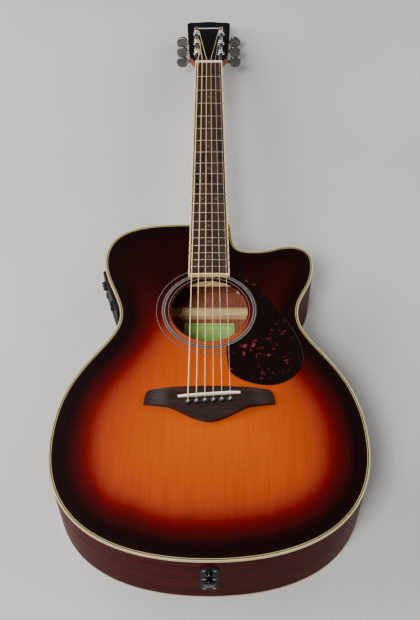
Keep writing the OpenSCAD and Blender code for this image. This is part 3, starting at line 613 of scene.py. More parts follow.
def bent(tree, where, **looks):
    """Stained wood bent round the body: its fibre follows the girth that the piece carries."""
    along = add(tree, "Attribute", {"attribute_name": "girth"})
    split = add(tree, "SeparateXYZ", links={"Vector": where})
    run = add(tree, "CombineXYZ",
              links={"X": split.outputs["Z"], "Y": along.outputs["Fac"], "Z": split.outputs["Z"]})
    return stained(tree, run.outputs[0], **looks)


glow_span = 160     # the burst's shades are spread over this many millimetres


def sunburst(tree, where):
    """Shades that follow the glow which the top carries, over straight grain."""
    rings, ripple = marks(tree, where, 3, 700, 4), marks(tree, where, 28, 240, 2)
    drift = add(tree, "MapRange", {"From Min": 0.3, "From Max": 0.7, "To Min": -0.012, "To Max": 0.012},
                {"Value": ripple})
    glow = add(tree, "Attribute", {"attribute_name": "glow"})
    level = add(tree, "Math", {"operation": "ADD"}, {0: glow.outputs["Fac"], 1: drift.outputs[0]})
    burst = add(tree, "ValToRGB", {"stops": [
        (0.00, "#0b0001"), (0.03, "#180101"), (0.06, "#110101"), (0.10, "#120101"), (0.14, "#1e0101"),
        (0.17, "#2f0302"), (0.21, "#3e0103"), (0.26, "#530204"), (0.30, "#6a0805"), (0.35, "#7f2614"),
        (0.41, "#963518"), (0.50, "#a63e0d"), (0.69, "#af4606"), (1.00, "#be4d03")]},
        {"Fac": level.outputs[0]})
    shade = add(tree, "ValToRGB", {"stops": [(0.30, "#c4b4a4"), (0.55, "#f4f0ec"), (0.75, "#ffffff")]},
                {"Fac": rings})
    grain = add(tree, "Mix", {"data_type": "RGBA", "blend_type": "MULTIPLY", "Factor": 0.35},
                {6: burst.outputs[0], 7: shade.outputs[0]})
    return surfaced(tree, grain.outputs[2], {"Roughness": 0.40, "IOR": 1.5, "Specular IOR Level": 0.1,
                                             "Coat Weight": 0.6, "Coat Roughness": 0.04}, rings, (0.08, 0.06))


def tortoise(tree, where):
    """Torn flakes that crowd together in some patches and thin out in others."""
    flakes = add(tree, "TexNoise", {"Scale": 1000 / 7, "Detail": 4.0, "Roughness": 0.6, "Distortion": 0.6},
                 {"Vector": where})
    thick = add(tree, "MapRange", {"From Min": 0.35, "From Max": 0.65, "To Min": -0.03, "To Max": 0.02},
                {"Value": marks(tree, where, 26)})
    level = add(tree, "Math", {"operation": "ADD"}, {0: flakes.outputs[0], 1: thick.outputs[0]})
    colour = add(tree, "ValToRGB", {"stops": [(0.0, "#0a0504"), (0.590, "#120706"), (0.620, "#310b0e"),
                                              (0.67, "#6e2024"), (0.76, "#93353c")]}, {"Fac": level.outputs[0]})
    return surfaced(tree, colour.outputs[0], {"Roughness": 0.30, "IOR": 1.5, "Specular IOR Level": 0.15,
                                              "Coat Weight": 0.5, "Coat Roughness": 0.05})


def winding(tree, where):
    """Turns of fine wire, side by side along y."""
    turns = add(tree, "Mapping", {"Scale": (0, 1000 / 0.8, 0)}, {"Vector": where})
    wraps = add(tree, "TexWave", {"Scale": 1.0, "bands_direction": "Y"}, {"Vector": turns.outputs[0]})
    colour = add(tree, "ValToRGB", {"stops": [(0.1, "#fbd69a"), (0.6, "#ffe9b4")]}, {"Fac": wraps.outputs[1]})
    return surfaced(tree, colour.outputs[0], {"Metallic": 0.25, "Roughness": 0.3}, wraps.outputs[1], (0.5, 0.1))


def woven(tree, where):
    """Small squares that stand for the weave of glass cloth."""
    weave = add(tree, "TexChecker", {"Scale": 1000 / 1.5}, {"Vector": where})
    colour = add(tree, "ValToRGB", {"stops": [(0.0, "#0d3a20"), (1.0, "#14502c")]}, {"Fac": weave.outputs[1]})
    return surfaced(tree, colour.outputs[0], {"Roughness": 0.4, "IOR": 1.5})


# Spruce under a sprayed sunburst and thick gloss lacquer: bright straight grain in the middle, drowned in dark red
# and black towards the edge. Growth rings are about 1.5 mm, drawn at 3 mm so that they show.
SUNBURST = material("sunburst_lacquered_spruce", sunburst)
# Red-stained mahogany under gloss lacquer: long dark pores in a red ground, with a slow ripple of light. The ground is
# painted darker than the back's same stain, as painted shade on the dim sides.
# Pores are 0.2 mm wide, drawn at 1 mm.
SIDES = material("gloss_mahogany_painted_shade", bent, pores=(1.0, 26, 4), figure=(9, 160, 3),
                 ground=[(0.30, "#2e0303"), (0.50, "#440604"), (0.70, "#580b06")],
                 dark=[(0.34, "#6a5450"), (0.50, "#ffffff")], depth=0.7, bump=(0.10, 0.05),
                 surface={"Roughness": 0.40, "IOR": 1.05, "Coat Weight": 0.08, "Coat Roughness": 0.05})
# The same red-stained mahogany, cut flat for the back: its fibre runs along the body.
BACK = material("gloss_lacquered_flat_mahogany", stained, pores=(1.0, 24, 4), figure=(16, 260, 3),
                ground=[(0.32, "#3a0a06"), (0.50, "#5c150b"), (0.68, "#7c2411")],
                dark=[(0.36, "#4a3a36"), (0.48, "#ffffff")], depth=0.85, bump=(0.10, 0.05),
                surface={"Roughness": 0.40, "IOR": 1.05, "Coat Weight": 0.25, "Coat Roughness": 0.05})
# Stained nato under a thin satin finish: red-brown, with open pores that dull the light.
NECK = material("satin_stained_nato", stained, pores=(1.1, 22, 4), figure=(7, 150, 3),
                ground=[(0.32, "#5a2110"), (0.50, "#7d3318"), (0.68, "#9a4722")],
                dark=[(0.36, "#54423c"), (0.48, "#ffffff")], depth=0.8, bump=(0.15, 0.05),
                surface={"Roughness": 0.40, "IOR": 1.5, "Specular IOR Level": 0.2, "Coat Weight": 0.3,
                         "Coat Roughness": 0.2})
# Sawn and sanded spruce inside the box: pale straw with fine darker rings and no shine.
sawn_spruce = dict(size=(2.2, 300, 4), shades=[(0.35, "#d6a974"), (0.55, "#ecc890"), (0.75, "#f5d8a6")],
                   surface={"Roughness": 0.72, "IOR": 1.5}, bump=(0.2, 0.1))
SPRUCE = material("sanded_spruce", patterned, **sawn_spruce)
# The same spruce where a brace runs from side to side.
SPRUCE_ACROSS = material("sanded_spruce_across", patterned, sideways=True, **sawn_spruce)
# Sanded mahogany inside the box: warm pink-brown with short dark pores.
MAHOGANY = material("sanded_mahogany", patterned, size=(1.2, 18, 4), bump=(0.2, 0.1),
                    shades=[(0.34, "#74391f"), (0.50, "#96543a"), (0.72, "#ad6c4e")],
                    surface={"Roughness": 0.70, "IOR": 1.5})
# Scraped and lacquered ABS binding: cream, yellowed by the lacquer over it.
CREAM = material("scraped_cream_abs", patterned, size=(30,), shades=[(0.3, "#b3a16c"), (0.7, "#c5b482")],
                 surface={"Roughness": 0.36, "IOR": 1.5, "Coat Weight": 0.3, "Coat Roughness": 0.08})
# The fingerboard's edging isn't lacquered: the same ABS, paler and brighter.
PALE_CREAM = material("scraped_pale_abs", patterned, size=(30,), shades=[(0.3, "#eecb84"), (0.7, "#f8da98")],
                      surface={"Roughness": 0.4, "IOR": 1.5})
# Dyed fibre strips under lacquer: the purfling near black, the rosette's lines light grey and dark grey.
lacquered = {"Roughness": 0.35, "IOR": 1.5, "Coat Weight": 0.5, "Coat Roughness": 0.08}
BLACK_LINE = material("dyed_black_fibre", patterned, size=(4,), shades=[(0.3, "#0c0908"), (0.7, "#1a1412")],
                      surface=lacquered)
GREY_LINE = material("lacquered_grey_fibre", patterned, size=(3,), shades=[(0.3, "#6c6763"), (0.7, "#8e8985")],
                     surface=lacquered)
DARK_LINE = material("lacquered_dark_fibre", patterned, size=(3,), shades=[(0.3, "#3c3836"), (0.7, "#57524f")],
                     surface=lacquered)
# Oiled rosewood: dark chocolate with darker streaks and open pores, and a low sheen. Pores are drawn at 0.8 mm.
ROSEWOOD = material("oiled_rosewood", stained, pores=(0.8, 14, 4), figure=(5, 130, 4),
                    ground=[(0.30, "#1c0f0b"), (0.45, "#331f16"), (0.58, "#412e20"), (0.72, "#4d3226")],
                    dark=[(0.38, "#5a4c46"), (0.50, "#ffffff")], depth=0.6, bump=(0.2, 0.06),
                    surface={"Roughness": 0.5, "IOR": 1.5, "Specular IOR Level": 0.3})
# The bridge's rosewood lies across the body and is darker: its streaks run along x.
BRIDGE_WOOD = material("oiled_rosewood_across", stained, sideways=True, pores=(0.8, 16, 4), figure=(3.5, 90, 4),
                       ground=[(0.30, "#170b09"), (0.50, "#2b1814"), (0.70, "#3e261f")],
                       dark=[(0.38, "#4c403c"), (0.50, "#ffffff")], depth=0.7, bump=(0.2, 0.06),
                       surface={"Roughness": 0.42, "IOR": 1.5, "Specular IOR Level": 0.3})
# Die-cut tortoise celluloid: near-black ground with torn flakes of wine red that seem to lie below the gloss.
# Flakes are 2 to 7 mm across.
TORTOISE = material("tortoise_celluloid", tortoise)
# Polished black lacquer over the head's veneer: deep, with the faintest waviness from buffing.
HEAD_BLACK = material("polished_black_lacquer", patterned, size=(22,), bump=(0.05, 0.2),
                      shades=[(0.3, "#050404"), (0.7, "#0c0a0a")],
                      surface={"Roughness": 0.30, "IOR": 1.5, "Specular IOR Level": 0.05, "Coat Weight": 0.2,
                               "Coat Roughness": 0.04})
# Injection-moulded glossy ABS: black with a soft edge to its highlights.
GLOSS_ABS = material("moulded_gloss_abs", patterned, size=(6,), shades=[(0.3, "#0b0b0c"), (0.7, "#131314")],
                     surface={"Roughness": 0.24, "IOR": 1.5})
# Spark-textured ABS: the mould's fine grit, 0.3 mm drawn at 0.8 mm, scatters the light to a dark grey bloom.
TEXTURED_ABS = material("spark_textured_abs", patterned, size=(0.8, None, 3), bump=(0.35, 0.08),
                        shades=[(0.3, "#0d0d0e"), (0.7, "#161718")], surface={"Roughness": 0.5, "IOR": 1.2})
# Polished bone-like resin: warm white with a faint fibre.
BONE = material("polished_bone", patterned, size=(1.5, 12, 3), shades=[(0.3, "#f1e4c4"), (0.7, "#fdf3da")],
                surface={"Roughness": 0.34, "IOR": 1.54, "Subsurface Weight": 0.1,
                         "Subsurface Radius": (0.002, 0.0015, 0.001)})
# Mother-of-pearl plastic: silver white with slow bands of pink and green.
PEARL = material("mother_of_pearl", patterned, size=(5, 9, 3),
                 shades=[(0.30, "#b9c4c2"), (0.45, "#e3dfe0"), (0.60, "#cfd8c9"), (0.75, "#ece2e4")],
                 surface={"Roughness": 0.25, "IOR": 1.53, "Coat Weight": 0.5, "Coat Roughness": 0.05})
# Grey shell dots: dull and dark, with a slow pearly band.
SHELL = material("grey_shell", patterned, size=(2, 4, 3), surface={"Roughness": 0.35, "IOR": 1.53},
                 shades=[(0.35, "#42362f"), (0.50, "#5a4f46"), (0.68, "#4b4540")])
metal = {"Metallic": 1.0}
# Drawn nickel silver fret wire, crowned and polished: a warm white metal.
FRET_WIRE = material("polished_nickel_silver", patterned, size=(2.5,), surface=metal, rough=(0.34, 0.46),
                     shades=[(0.3, "#978c7d"), (0.7, "#ada291")])
# Chrome plate on die-cast zinc: mirror bright, faintly wavy from the casting beneath.
CHROME = material("chrome_plated_zinc", patterned, size=(5,), surface=metal, rough=(0.07, 0.15), bump=(0.06, 0.15),
                  shades=[(0.3, "#c3c5c9"), (0.7, "#d5d7da")])
# Chrome plate over satin-blasted castings: duller than the bright parts, and painted a darker grey as painted
# reflection of dark surroundings.
DARK_CHROME = material("satin_chrome_painted_dark", patterned, size=(4,), surface=metal, rough=(0.22, 0.32),
                       bump=(0.05, 0.1), shades=[(0.3, "#6e706c"), (0.7, "#83857f")])
# Nickel plate on turned brass, painted a deep grey as painted reflection of dark surroundings: a mirror that shows only
# as small glints.
DIMMED_NICKEL = material("nickel_plate_painted_dark", patterned, size=(4,), surface=metal, rough=(0.16, 0.24),
                        shades=[(0.3, "#232325"), (0.7, "#303033")])
# Tinned drawn steel wire: bright grey with fine lengthwise marks.
STEEL = material("drawn_steel", patterned, size=(0.5, 30, 2), surface={"Metallic": 0.5, "Roughness": 0.3},
                 shades=[(0.3, "#f0e4d6"), (0.7, "#fff6ea")])
# Phosphor bronze wire wound on steel: 0.25 mm turns, drawn at 0.8 mm, that catch the light as fine bands.
BRONZE = material("wound_phosphor_bronze", winding)
# Machined brass: pale gold with turning marks.
BRASS = material("machined_brass", patterned, size=(1.5,), surface={"Metallic": 1.0, "Roughness": 0.30},
                 shades=[(0.3, "#b08d4a"), (0.7, "#cda864")])
# Green label paper, glued on: dull, with a faint fibre mottle.
PAPER = material("green_label_paper", patterned, size=(2.5, None, 4), surface={"Roughness": 0.8, "IOR": 1.45},
                 shades=[(0.3, "#9fd468"), (0.7, "#b4e47c")])
# Printed border of the label: the same paper under dark green ink.
INK = material("printed_green_border", patterned, size=(1.5, None, 4), surface={"Roughness": 0.75, "IOR": 1.45},
               shades=[(0.3, "#4d8a48"), (0.7, "#5f9c58")])
# Solder-masked circuit board: green with the weave of the glass cloth beneath.
BOARD = material("coated_circuit_board", woven)
# Plain film shrunk round a block battery: dull gold, a little cloudy.
WRAP = material("battery_film", patterned, size=(5,), surface={"Roughness": 0.3, "IOR": 1.5},
                shades=[(0.3, "#8f7434"), (0.7, "#a4863f")])

# ---- body ----

def smooth_step(low, high, x):
    t = min(max((x - low) / (high - low), 0), 1)
    return t * t * (3 - 2 * t)


def burst_level(p):
    """How brightly the burst glows: it follows the body's edge, and dies away over the upper bout."""
    rim = max(rim_distance(p.x, p.y), 0.1)
    ceiling = 20 + 130 * exp((70 - p.y) / 32)
    return (rim ** -4 + ceiling ** -4) ** -0.25 / glow_span


def make_soundboard():
    grid = 8
    bm = bmesh.new()
    ring = [Vector((hole_r * cos(a), hole_y + hole_r * sin(a))) for a in (2 * pi * i / 128 for i in range(128))]
    for outline in (inset_outline(binding_w + purfling_w), ring):
        verts = [bm.verts.new((p.x, p.y, -top_t)) for p in outline]
        for pair in zip(verts, verts[1:] + verts[:1]):
            bm.edges.new(pair)
    bmesh.ops.triangle_fill(bm, use_beauty=True, edges=bm.edges[:])
    slice_up(bm, 0, range(-184, 192, grid))
    slice_up(bm, 1, range(int(tail_y), int(joint_y), grid))
    thicken(bm, bm.faces[:], top_t)
    for face in bm.faces:
        face.material_index = int(face.normal.z < -0.5)
    round_off(bm, 0.25, 2, where=lambda c: c.z > -0.01 and hypot(c.x, c.y - hole_y) < hole_r + 0.01)
    top = piece("soundboard_spruce", bm, [SUNBURST, SPRUCE], nodes=["soundboard"])
    mark(top, "glow", burst_level)


def make_edges():
    """Bindings, and the thin lines between the top's binding and the spruce."""
    def outer_corner(low):
        return lambda c: abs(c.z - low) < 0.01 and rim_distance(c.x, c.y) < 0.05
    top = round_off(band(0, top_binding_w, -binding_h, 0), 0.4, 3, where=outer_corner(0))
    piece("top_binding", top, [CREAM], nodes=["binding_top"])
    back = round_off(band(0, binding_w, 0, binding_h), 0.4, 3, where=outer_corner(0))
    piece("back_binding", onto_back(back), [CREAM], nodes=["binding_back"])
    lines = bmesh.new()
    insets = [top_binding_w, *light_line, binding_w + purfling_w]
    for outer, inner, index in zip(insets, insets[1:], (0, 1, 0)):
        gather(lines, band(outer, inner, -top_t, 0), index=index)
    piece("purfling_lines", lines, [BLACK_LINE, CREAM], nodes=["purfling"])


def girth_along(rim):
    """How far round the side a place is, in metres, so that the fibre follows the bent wood."""
    points = np.array([tuple(p) for p in rim])
    starts = np.concatenate(([0], np.cumsum(np.hypot(*np.diff(points, axis=0).T))))

    def measure(p):
        _, best, along = nearest(points, p.x, p.y)
        return float(starts[best] + along * (starts[best + 1] - starts[best])) / 1000
    return measure


def make_side(name, rim, window=None):
    bm = bmesh.new()
    verts = [bm.verts.new((p.x, p.y, -binding_h)) for p in rim]
    edges = [bm.edges.new(pair) for pair in zip(verts, verts[1:])]
    drawn = bmesh.ops.extrude_edge_only(bm, edges=edges)["geom"]
    for v in drawn:
        if isinstance(v, bmesh.types.BMVert):
            v.co.z = binding_h - depth_at(v.co.y)
    bmesh.ops.recalc_face_normals(bm, faces=bm.faces)
    outward = max(bm.faces, key=lambda f: abs(f.calc_center_median().x))
    if outward.normal.x * outward.calc_center_median().x < 0:
        bmesh.ops.reverse_faces(bm, faces=bm.faces[:])
    bmesh.ops.solidify(bm, geom=bm.faces[:], thickness=side_t)
    if window:
        bm = carve(bm, window)
    for face in bm.faces:
        c = face.calc_center_median()
        face.material_index = int(rim_distance(c.x, c.y) > side_t * 0.6)
    obj = piece(name, bm, [SIDES, MAHOGANY], nodes=[name.replace("_wall", "")], smooth=30)
    mark(obj, "girth", girth_along(rim))


def make_back():
    bm = onto_back(slab(inset_outline(binding_w), 0, back_t))
    for face in bm.faces:
        face.material_index = int(face.normal.z > 0.5)
    piece("back_board", bm, [BACK, MAHOGANY], nodes=["back_plate"])


def make_linings():
    """Kerfed strips in the corners: small blocks side by side, with a saw kerf between them."""
    pitch, kerf, thin_w = 6.0, 1.2, 2.0
    loop = body_outline + body_outline[:1]
    starts = [0]
    for a, b in zip(loop, loop[1:]):
        starts.append(starts[-1] + (b - a).length)
    length = starts[-1]
    count = int(length / pitch)
    bm = bmesh.new()
    for i in range(count):
        at = length * i / count
        j = max(k for k in range(len(loop) - 1) if starts[k] <= at)
        run = (loop[j + 1] - loop[j]).normalized()
        place = loop[j] + run * (at - starts[j])
        inward = Vector((-run.y, run.x))
        near_neck = place.y > joint_y - block_len - 2 and abs(place.x) < block_half + 1
        near_tail = place.y < tail_y + tail_block_t and abs(place.x) < tail_block_half + 4
        if near_neck or near_tail:
            continue
        turn = Matrix(((run.x, inward.x, 0, 0), (run.y, inward.y, 0, 0), (0, 0, 1, 0), (0, 0, 0, 1)))
        for level, side in ((-top_t, -1), (back_t - depth_at(place.y), 1)):
            block = bar((-(pitch - kerf) / 2, side_t, 0), ((pitch - kerf) / 2, side_t + lining_w, lining_h))
            for v in block.verts:       # the strip tapers away from the board that it is glued to
                if v.co.z > 1 and v.co.y > side_t + 1:
                    v.co.y = side_t + thin_w
            flip = Matrix.Scale(side, 4, (0, 0, 1))
            moved(block, shift(place.x, place.y, level), turn, flip)
            if side < 0:
                bmesh.ops.reverse_faces(block, faces=block.faces[:])
            gather(bm, block)
    piece("kerfed_linings", bm, [SPRUCE], nodes=["linings"])


def make_back_braces():
    """Spruce bars across the back, rounded over on top and thinned at their ends."""
    bm = bmesh.new()
    w, h = back_brace
    thinned = (10, 20, 30, 40)      # how far in from its ends a brace is thinned, by steps
    for y in back_brace_ys:
        ends = [a.lerp(b, (y - a.y) / (b.y - a.y)).x for a, b in zip(body_outline, body_outline[1:])
                if min(a.y, b.y) <= y < max(a.y, b.y)]
        low, high = min(ends) + side_t + lining_w + 1, max(ends) - side_t - lining_w - 1
        brace = bar((low, -w / 2, 0), (high, w / 2, h))
        round_off(brace, 5.5, 6, where=lambda c: c.z > 1)
        slice_up(brace, 0, [low + d for d in thinned] + [high - d for d in thinned])
        for v in brace.verts:
            if v.co.z > 1:
                v.co.z *= 0.3 + 0.7 * smooth_step(0, thinned[-1], min(v.co.x - low, high - v.co.x))
        gather(bm, moved(brace, shift(0, y, back_t)))
    piece("rounded_back_braces", onto_back(bm), [SPRUCE_ACROSS], nodes=["back_braces"])


def make_label():
    margin, line_w, paper_t = 2.5, 0.9, 0.3
    x, y = label_size[0] / 2, label_size[1] / 2
    bm = bar((-x, label_y - y, back_t), (x, label_y + y, back_t + paper_t))
    face = max(bm.faces, key=lambda f: f.calc_center_median().z)
    draw_in(bm, face, margin)
    for strip in draw_in(bm, face, line_w):
        strip.material_index = 1
    piece("paper_label", onto_back(bm), [PAPER, INK], nodes=["label"])


def make_rosette():
    proud = 0.05
    bm = bmesh.new()
    lines = [(2.0, 2.35, 0), (2.35, 2.85, 1), (2.85, 3.2, 0),
             (6.5, 7.1, 0), (7.1, 8.1, 1), (8.1, 8.7, 0), (8.7, 9.6, 2), (9.6, 10.2, 0),
             (10.2, 11.2, 1), (11.2, 11.8, 0), (18.0, 18.35, 0), (18.35, 18.85, 1), (18.85, 19.2, 0)]
    for inner, outer, index in lines:
        r, s = hole_r + inner, hole_r + outer
        ring = turned([(r, -rosette_t), (s, -rosette_t), (s, proud), (r, proud), (r, -rosette_t)], 128)
        gather(bm, moved(ring, shift(0, hole_y, 0)), index=index)
    piece("rosette_lines", bm, [BLACK_LINE, GREY_LINE, DARK_LINE], nodes=["rosette"])


def make_pickguard():
    guard_x = board_w(board_end) / 2 + 1.8
    knots = [
        ((guard_x, hole_y + 67), (4, -4), (6, 5)),
        ((49, hole_y + 63), (5, -6), (10, -12)),
        ((106, hole_y - 27), (9, -18), (7, -13)),
        ((120, hole_y - 76), (0, -16), (0, -22)),
        ((74, hole_y - 118), (-24, 0), (-22, 0)),
        ((25, hole_y - 94), (-3, 12), (-3, 14)),
        ((23, hole_y - 55), (2, 8), (10, 20))]
    edge = [p for p in chain(knots, 16) if hypot(p.x, p.y - hole_y) > guard_arc_r]
    first = np.arctan2(edge[-1].y - hole_y, edge[-1].x)
    last = np.arccos(guard_x / guard_arc_r)
    arc = [Vector((guard_arc_r * cos(a), hole_y + guard_arc_r * sin(a))) for a in np.linspace(first, last, 40)[1:]]
    bm = round_off(slab(edge + arc, 0, guard_t), 0.5, 2, where=lambda c: c.z > guard_t - 0.01)
    piece("tortoise_pickguard", bm, [TORTOISE], nodes=["pickguard"])


def bridge_height(x):
    """Full in the middle, scooped to thin wings."""
    t = min(max((abs(x) - scoop_from) / (scoop_to - scoop_from), 0), 1)
    return wing_t + (bridge_t - wing_t) * (1 + cos(pi * t)) / 2


def make_bridge():
    knots = [
        ((0, bridge_front_y), (0, 0), (28, 0)),
        ((bridge_half - 9.5, 4.4), (20, -0.5), (5, -0.2)),
        ((bridge_half - 1.4, -5.5), (0.4, -4.5), (0.3, -3)),
        ((bridge_half, -15.6), (0.3, -3), (-8, 0)),
        ((51, -18.9), (-7, -0.7), (-14, -4.5)),
        ((0, belly_y), (-17, 0), (0, 0))]
    bm = slab(both_halves(chain(knots, 14)), 0, bridge_t)
    slice_up(bm, 0, [s * x for s in (-1, 1) for x in np.linspace(scoop_from, scoop_to, 14)])
    slice_up(bm, 1, [-35, -30, -25, -20])
    for v in bm.verts:
        if v.co.z > 1:
            belly = (1 - smooth_step(belly_y, -19, v.co.y)) * belly_fall     # it falls away behind the pins
            v.co.z = max(bridge_height(v.co.x) - belly, min(bridge_height(v.co.x), wing_t))
    round_off(bm, 0.9, 3, limit=50, where=lambda c: c.z > 1)
    turn = shift(0, saddle_mid_y, 0) @ swing(saddle_angle, "Z")
    slot = moved(bar((-saddle_len / 2, -saddle_t / 2, slot_floor), (saddle_len / 2, saddle_t / 2, clear)), turn)
    bm = carve(bm, slot)
    piece("rosewood_bridge", bm, [BRIDGE_WOOD], nodes=["bridge"])
    half_len, half_t = saddle_len / 2 - 0.05, saddle_t / 2 - 0.03      # a push fit in its slot
    saddle = bar((-half_len, -half_t, slot_floor + pickup_t), (half_len, half_t, saddle_top))
    slice_up(saddle, 0, range(-36, 39, 4))
    for v in saddle.verts:
        if v.co.z > saddle_top - 1 and abs(v.co.x) > saddle_spread / 2:     # the ends are filed down
            v.co.z -= 1.6 * smooth_step(saddle_spread / 2, saddle_len / 2, abs(v.co.x))
    round_off(saddle, 1.1, 4, where=lambda c: c.z > saddle_top - 2)
    piece("bone_saddle", moved(saddle, turn), [BONE], nodes=["saddle"])


def make_pins():
    bm = bmesh.new()
    shank = bridge_t + top_t + 5.4
    for i in range(6):
        place = Matrix.Translation(pin_place(i))
        body = turned([(0, -shank), (1.5, -shank + 0.4), (1.9, -shank + 1.4), (pin_hole_r - 0.25, 0), (3.5, 0.05),
                       (pin_head_r, 0.4), (pin_head_r, 0.9), (3.6, 1.7), (3.0, 2.4), (2.1, 2.95), (1.1, 3.18),
                       (0, 3.2)], 24)
        dot = turned([(0, 2.6), (1.05, 2.6), (1.05, 3.2), (0.7, 3.27), (0, 3.3)], 20)
        gather(bm, moved(body, place), index=0)
        gather(bm, moved(dot, place), index=1)
    piece("bridge_pins_dotted", bm, [GLOSS_ABS, PEARL], nodes=["bridge_pins"])


# ---- neck ----

ring_steps = 28
head_blend = 30         # the shaft runs on this far under the head


def neck_ring(y, w, top, low, round_):
    ring = []
    for i in range(ring_steps + 1):
        a = pi * i / ring_steps
        drop = (top - low) * sin(a) ** round_
        slim = 1 - heel_taper * drop / joint_depth
        ring.append((copysign(abs(cos(a)) ** round_, cos(a)) * w / 2 * slim, y, top - drop))
    return ring


def shaft_low(y):
    return -shaft_depth_heel + (shaft_depth_heel - shaft_depth_nut) * (y - heel_y) / (nut_y - heel_y)


def heel_low(y):
    return -depth_at(y) + heel_cap_t + cap_rise


def head_low(y):
    return head_z - (y - head_y) * tan(head_tilt) - head_t / cos(head_tilt)


def make_neck():
    rings = [neck_ring(y, board_w(y), 0, heel_low(y), 0.3 + 0.25 * t)
             for t in (0, 0.25, 0.5, 0.75, 1) for y in [joint_y + (heel_y - joint_y) * t]]
    foot = heel_low(heel_y)
    for a in range(85, -1, -5):
        y = heel_y + heel_reach * (1 - sin(radians(a)))
        low = foot + (shaft_low(y) - foot) * cos(radians(a))
        rings.append(neck_ring(y, board_w(y), 0, low, 0.55 + 0.25 * cos(radians(a))))
    bend = heel_y + heel_reach
    for t in np.linspace(0.1, 1, 10):
        y = bend + (nut_y - bend) * float(t)
        rings.append(neck_ring(y, board_w(y), 0, shaft_low(y), 0.8))
    for t in np.linspace(0.1, 1, 10):
        t = float(t)
        y = head_y + head_blend * t
        deep = -shaft_depth_nut + (head_low(y) - 0.2 + shaft_depth_nut) * smooth_step(0, 1, t) ** 0.8
        rings.append(neck_ring(y, nut_w + 2 * t, -veneer_t - (y - head_y) * tan(head_tilt), deep, 0.8))
    bm = loft(rings)
    head = slab(head_outline(), -head_t, -veneer_t)
    round_off(head, 1.2, 3, where=lambda c: c.z < -head_t + 0.01)
    bm = carve(bm, moved(head, HEAD), "UNION")
    piece("nato_neck", bm, [NECK], nodes=["neck"], smooth=40)


def head_outline():
    knots = [
        ((nut_w / 2, -2), (0, 2), (0, 8)),
        ((head_w_low / 2, 27), (3, 9), (0.6, 3)),
        ((head_w_top / 2, head_len - 12), (0.6, 20), (0.2, 6)),
        ((head_w_top / 2 - 9, head_len - 3), (-5, 0.4), (-8, -1)),
        ((0, head_len), (-12, 0), (0, 0))]
    return both_halves(chain(knots, 14))


def make_head_face():
    bm = slab(head_outline(), -veneer_t, 0)
    round_off(bm, 0.35, 2, where=lambda c: c.z > -0.01 and c.y > 0)
    piece("head_veneer_lacquered", moved(bm, HEAD), [HEAD_BLACK], nodes=["head_veneer"])
    inlay = bar((-inlay_len / 2, inlay_y - inlay_w / 2, -0.8), (inlay_len / 2, inlay_y + inlay_w / 2, 0.04))
    round_off(inlay, 2, 5, limit=80)
    piece("head_inlay_bar", moved(inlay, HEAD), [PEARL])


board_arch = 400                    # radius of the fingerboard's arch
board_cuts = range(-24, 25, 4)      # where it is cut across its width, so that it can bend


def arch(bm, above):
    """Arches a piece of the fingerboard across its width."""
    for v in bm.verts:
        if v.co.z > above:
            v.co.z -= v.co.x ** 2 / (2 * board_arch)
    return bm


def board_edge(y, inset):
    return board_w(y) / 2 - inset


def make_fingerboard():
    low = board_end + board_binding
    a, b = board_edge(nut_y, board_binding), board_edge(low, board_binding)
    bm = slab([(-a, nut_y), (-b, low), (b, low), (a, nut_y)], 0, board_t)
    slice_up(bm, 0, board_cuts)
    piece("rosewood_fingerboard", arch(bm, 1), [ROSEWOOD], nodes=["fingerboard"])

    c, d = board_edge(nut_y, 0), board_edge(board_end, 0)
    edges = bmesh.new()
    for s in (-1, 1):
        gather(edges, slab([(s * a, nut_y), (s * c, nut_y), (s * d, board_end), (s * b, low)], 0, board_t))
    end = slab([(-b, low), (-d, board_end), (d, board_end), (b, low)], 0, board_t)
    gather(edges, slice_up(end, 0, board_cuts))
    round_off(edges, 0.35, 2, where=lambda v: v.z > 6 and (abs(v.x) > board_w(v.y) / 2 - 0.1 or v.y < board_end + 0.1))
    piece("fingerboard_edging", arch(edges, 1), [PALE_CREAM], nodes=["fingerboard_binding"])


def make_frets():
    bm = bmesh.new()
    for n in range(1, fret_count + 1):
        y, half = fret_y(n), board_w(fret_y(n)) / 2
        fret = bar((-half, -crown_half, board_t - 0.3), (half, crown_half, board_t + fret_r))
        slice_up(fret, 0, [x * half / 4 for x in range(-3, 4)])
        round_off(fret, 0.75, 4, where=lambda c: c.z > board_t + 0.5)
        gather(bm, arch(moved(fret, shift(0, y, 0)), 0))
    piece("crowned_frets", bm, [FRET_WIRE], nodes=["frets"])


def make_dots():
    bm = bmesh.new()
    places = [(0, (fret_y(n) + fret_y(n - 1)) / 2) for n in dot_frets]
    places += [(s * twelfth_dot_x, (fret_y(12) + fret_y(11)) / 2) for s in (-1, 1)]
    for x, y in places:
        dot = turned([(0, -1), (dot_r, -1), (dot_r, 0.02), (dot_r - 0.2, 0.06), (0, 0.06)], 24)
        gather(bm, arch(moved(dot, shift(x, y, board_t)), 0))
    piece("shell_position_dots", bm, [SHELL], nodes=["position_markers"])


def make_nut():
    bm = bar((-nut_w / 2, nut_y, 0), (nut_w / 2, nut_y + nut_t, nut_h))
    for v in bm.verts:      # the top slopes down towards the head
        if v.co.z > 1 and v.co.y > nut_y + 1:
            v.co.z -= nut_fall
    round_off(bm, 1.0, 3, where=lambda c: c.z > 1)
    slots = bmesh.new()
    for i in range(6):
        x, w = spread(i, nut_spread), string_radii[i] + 0.08
        gather(slots, bar((x - w, nut_y - 1, nut_floor), (x + w, nut_y + nut_t + 1, nut_h + 2)))
    piece("bone_nut", carve(bm, slots), [BONE], nodes=["nut"])


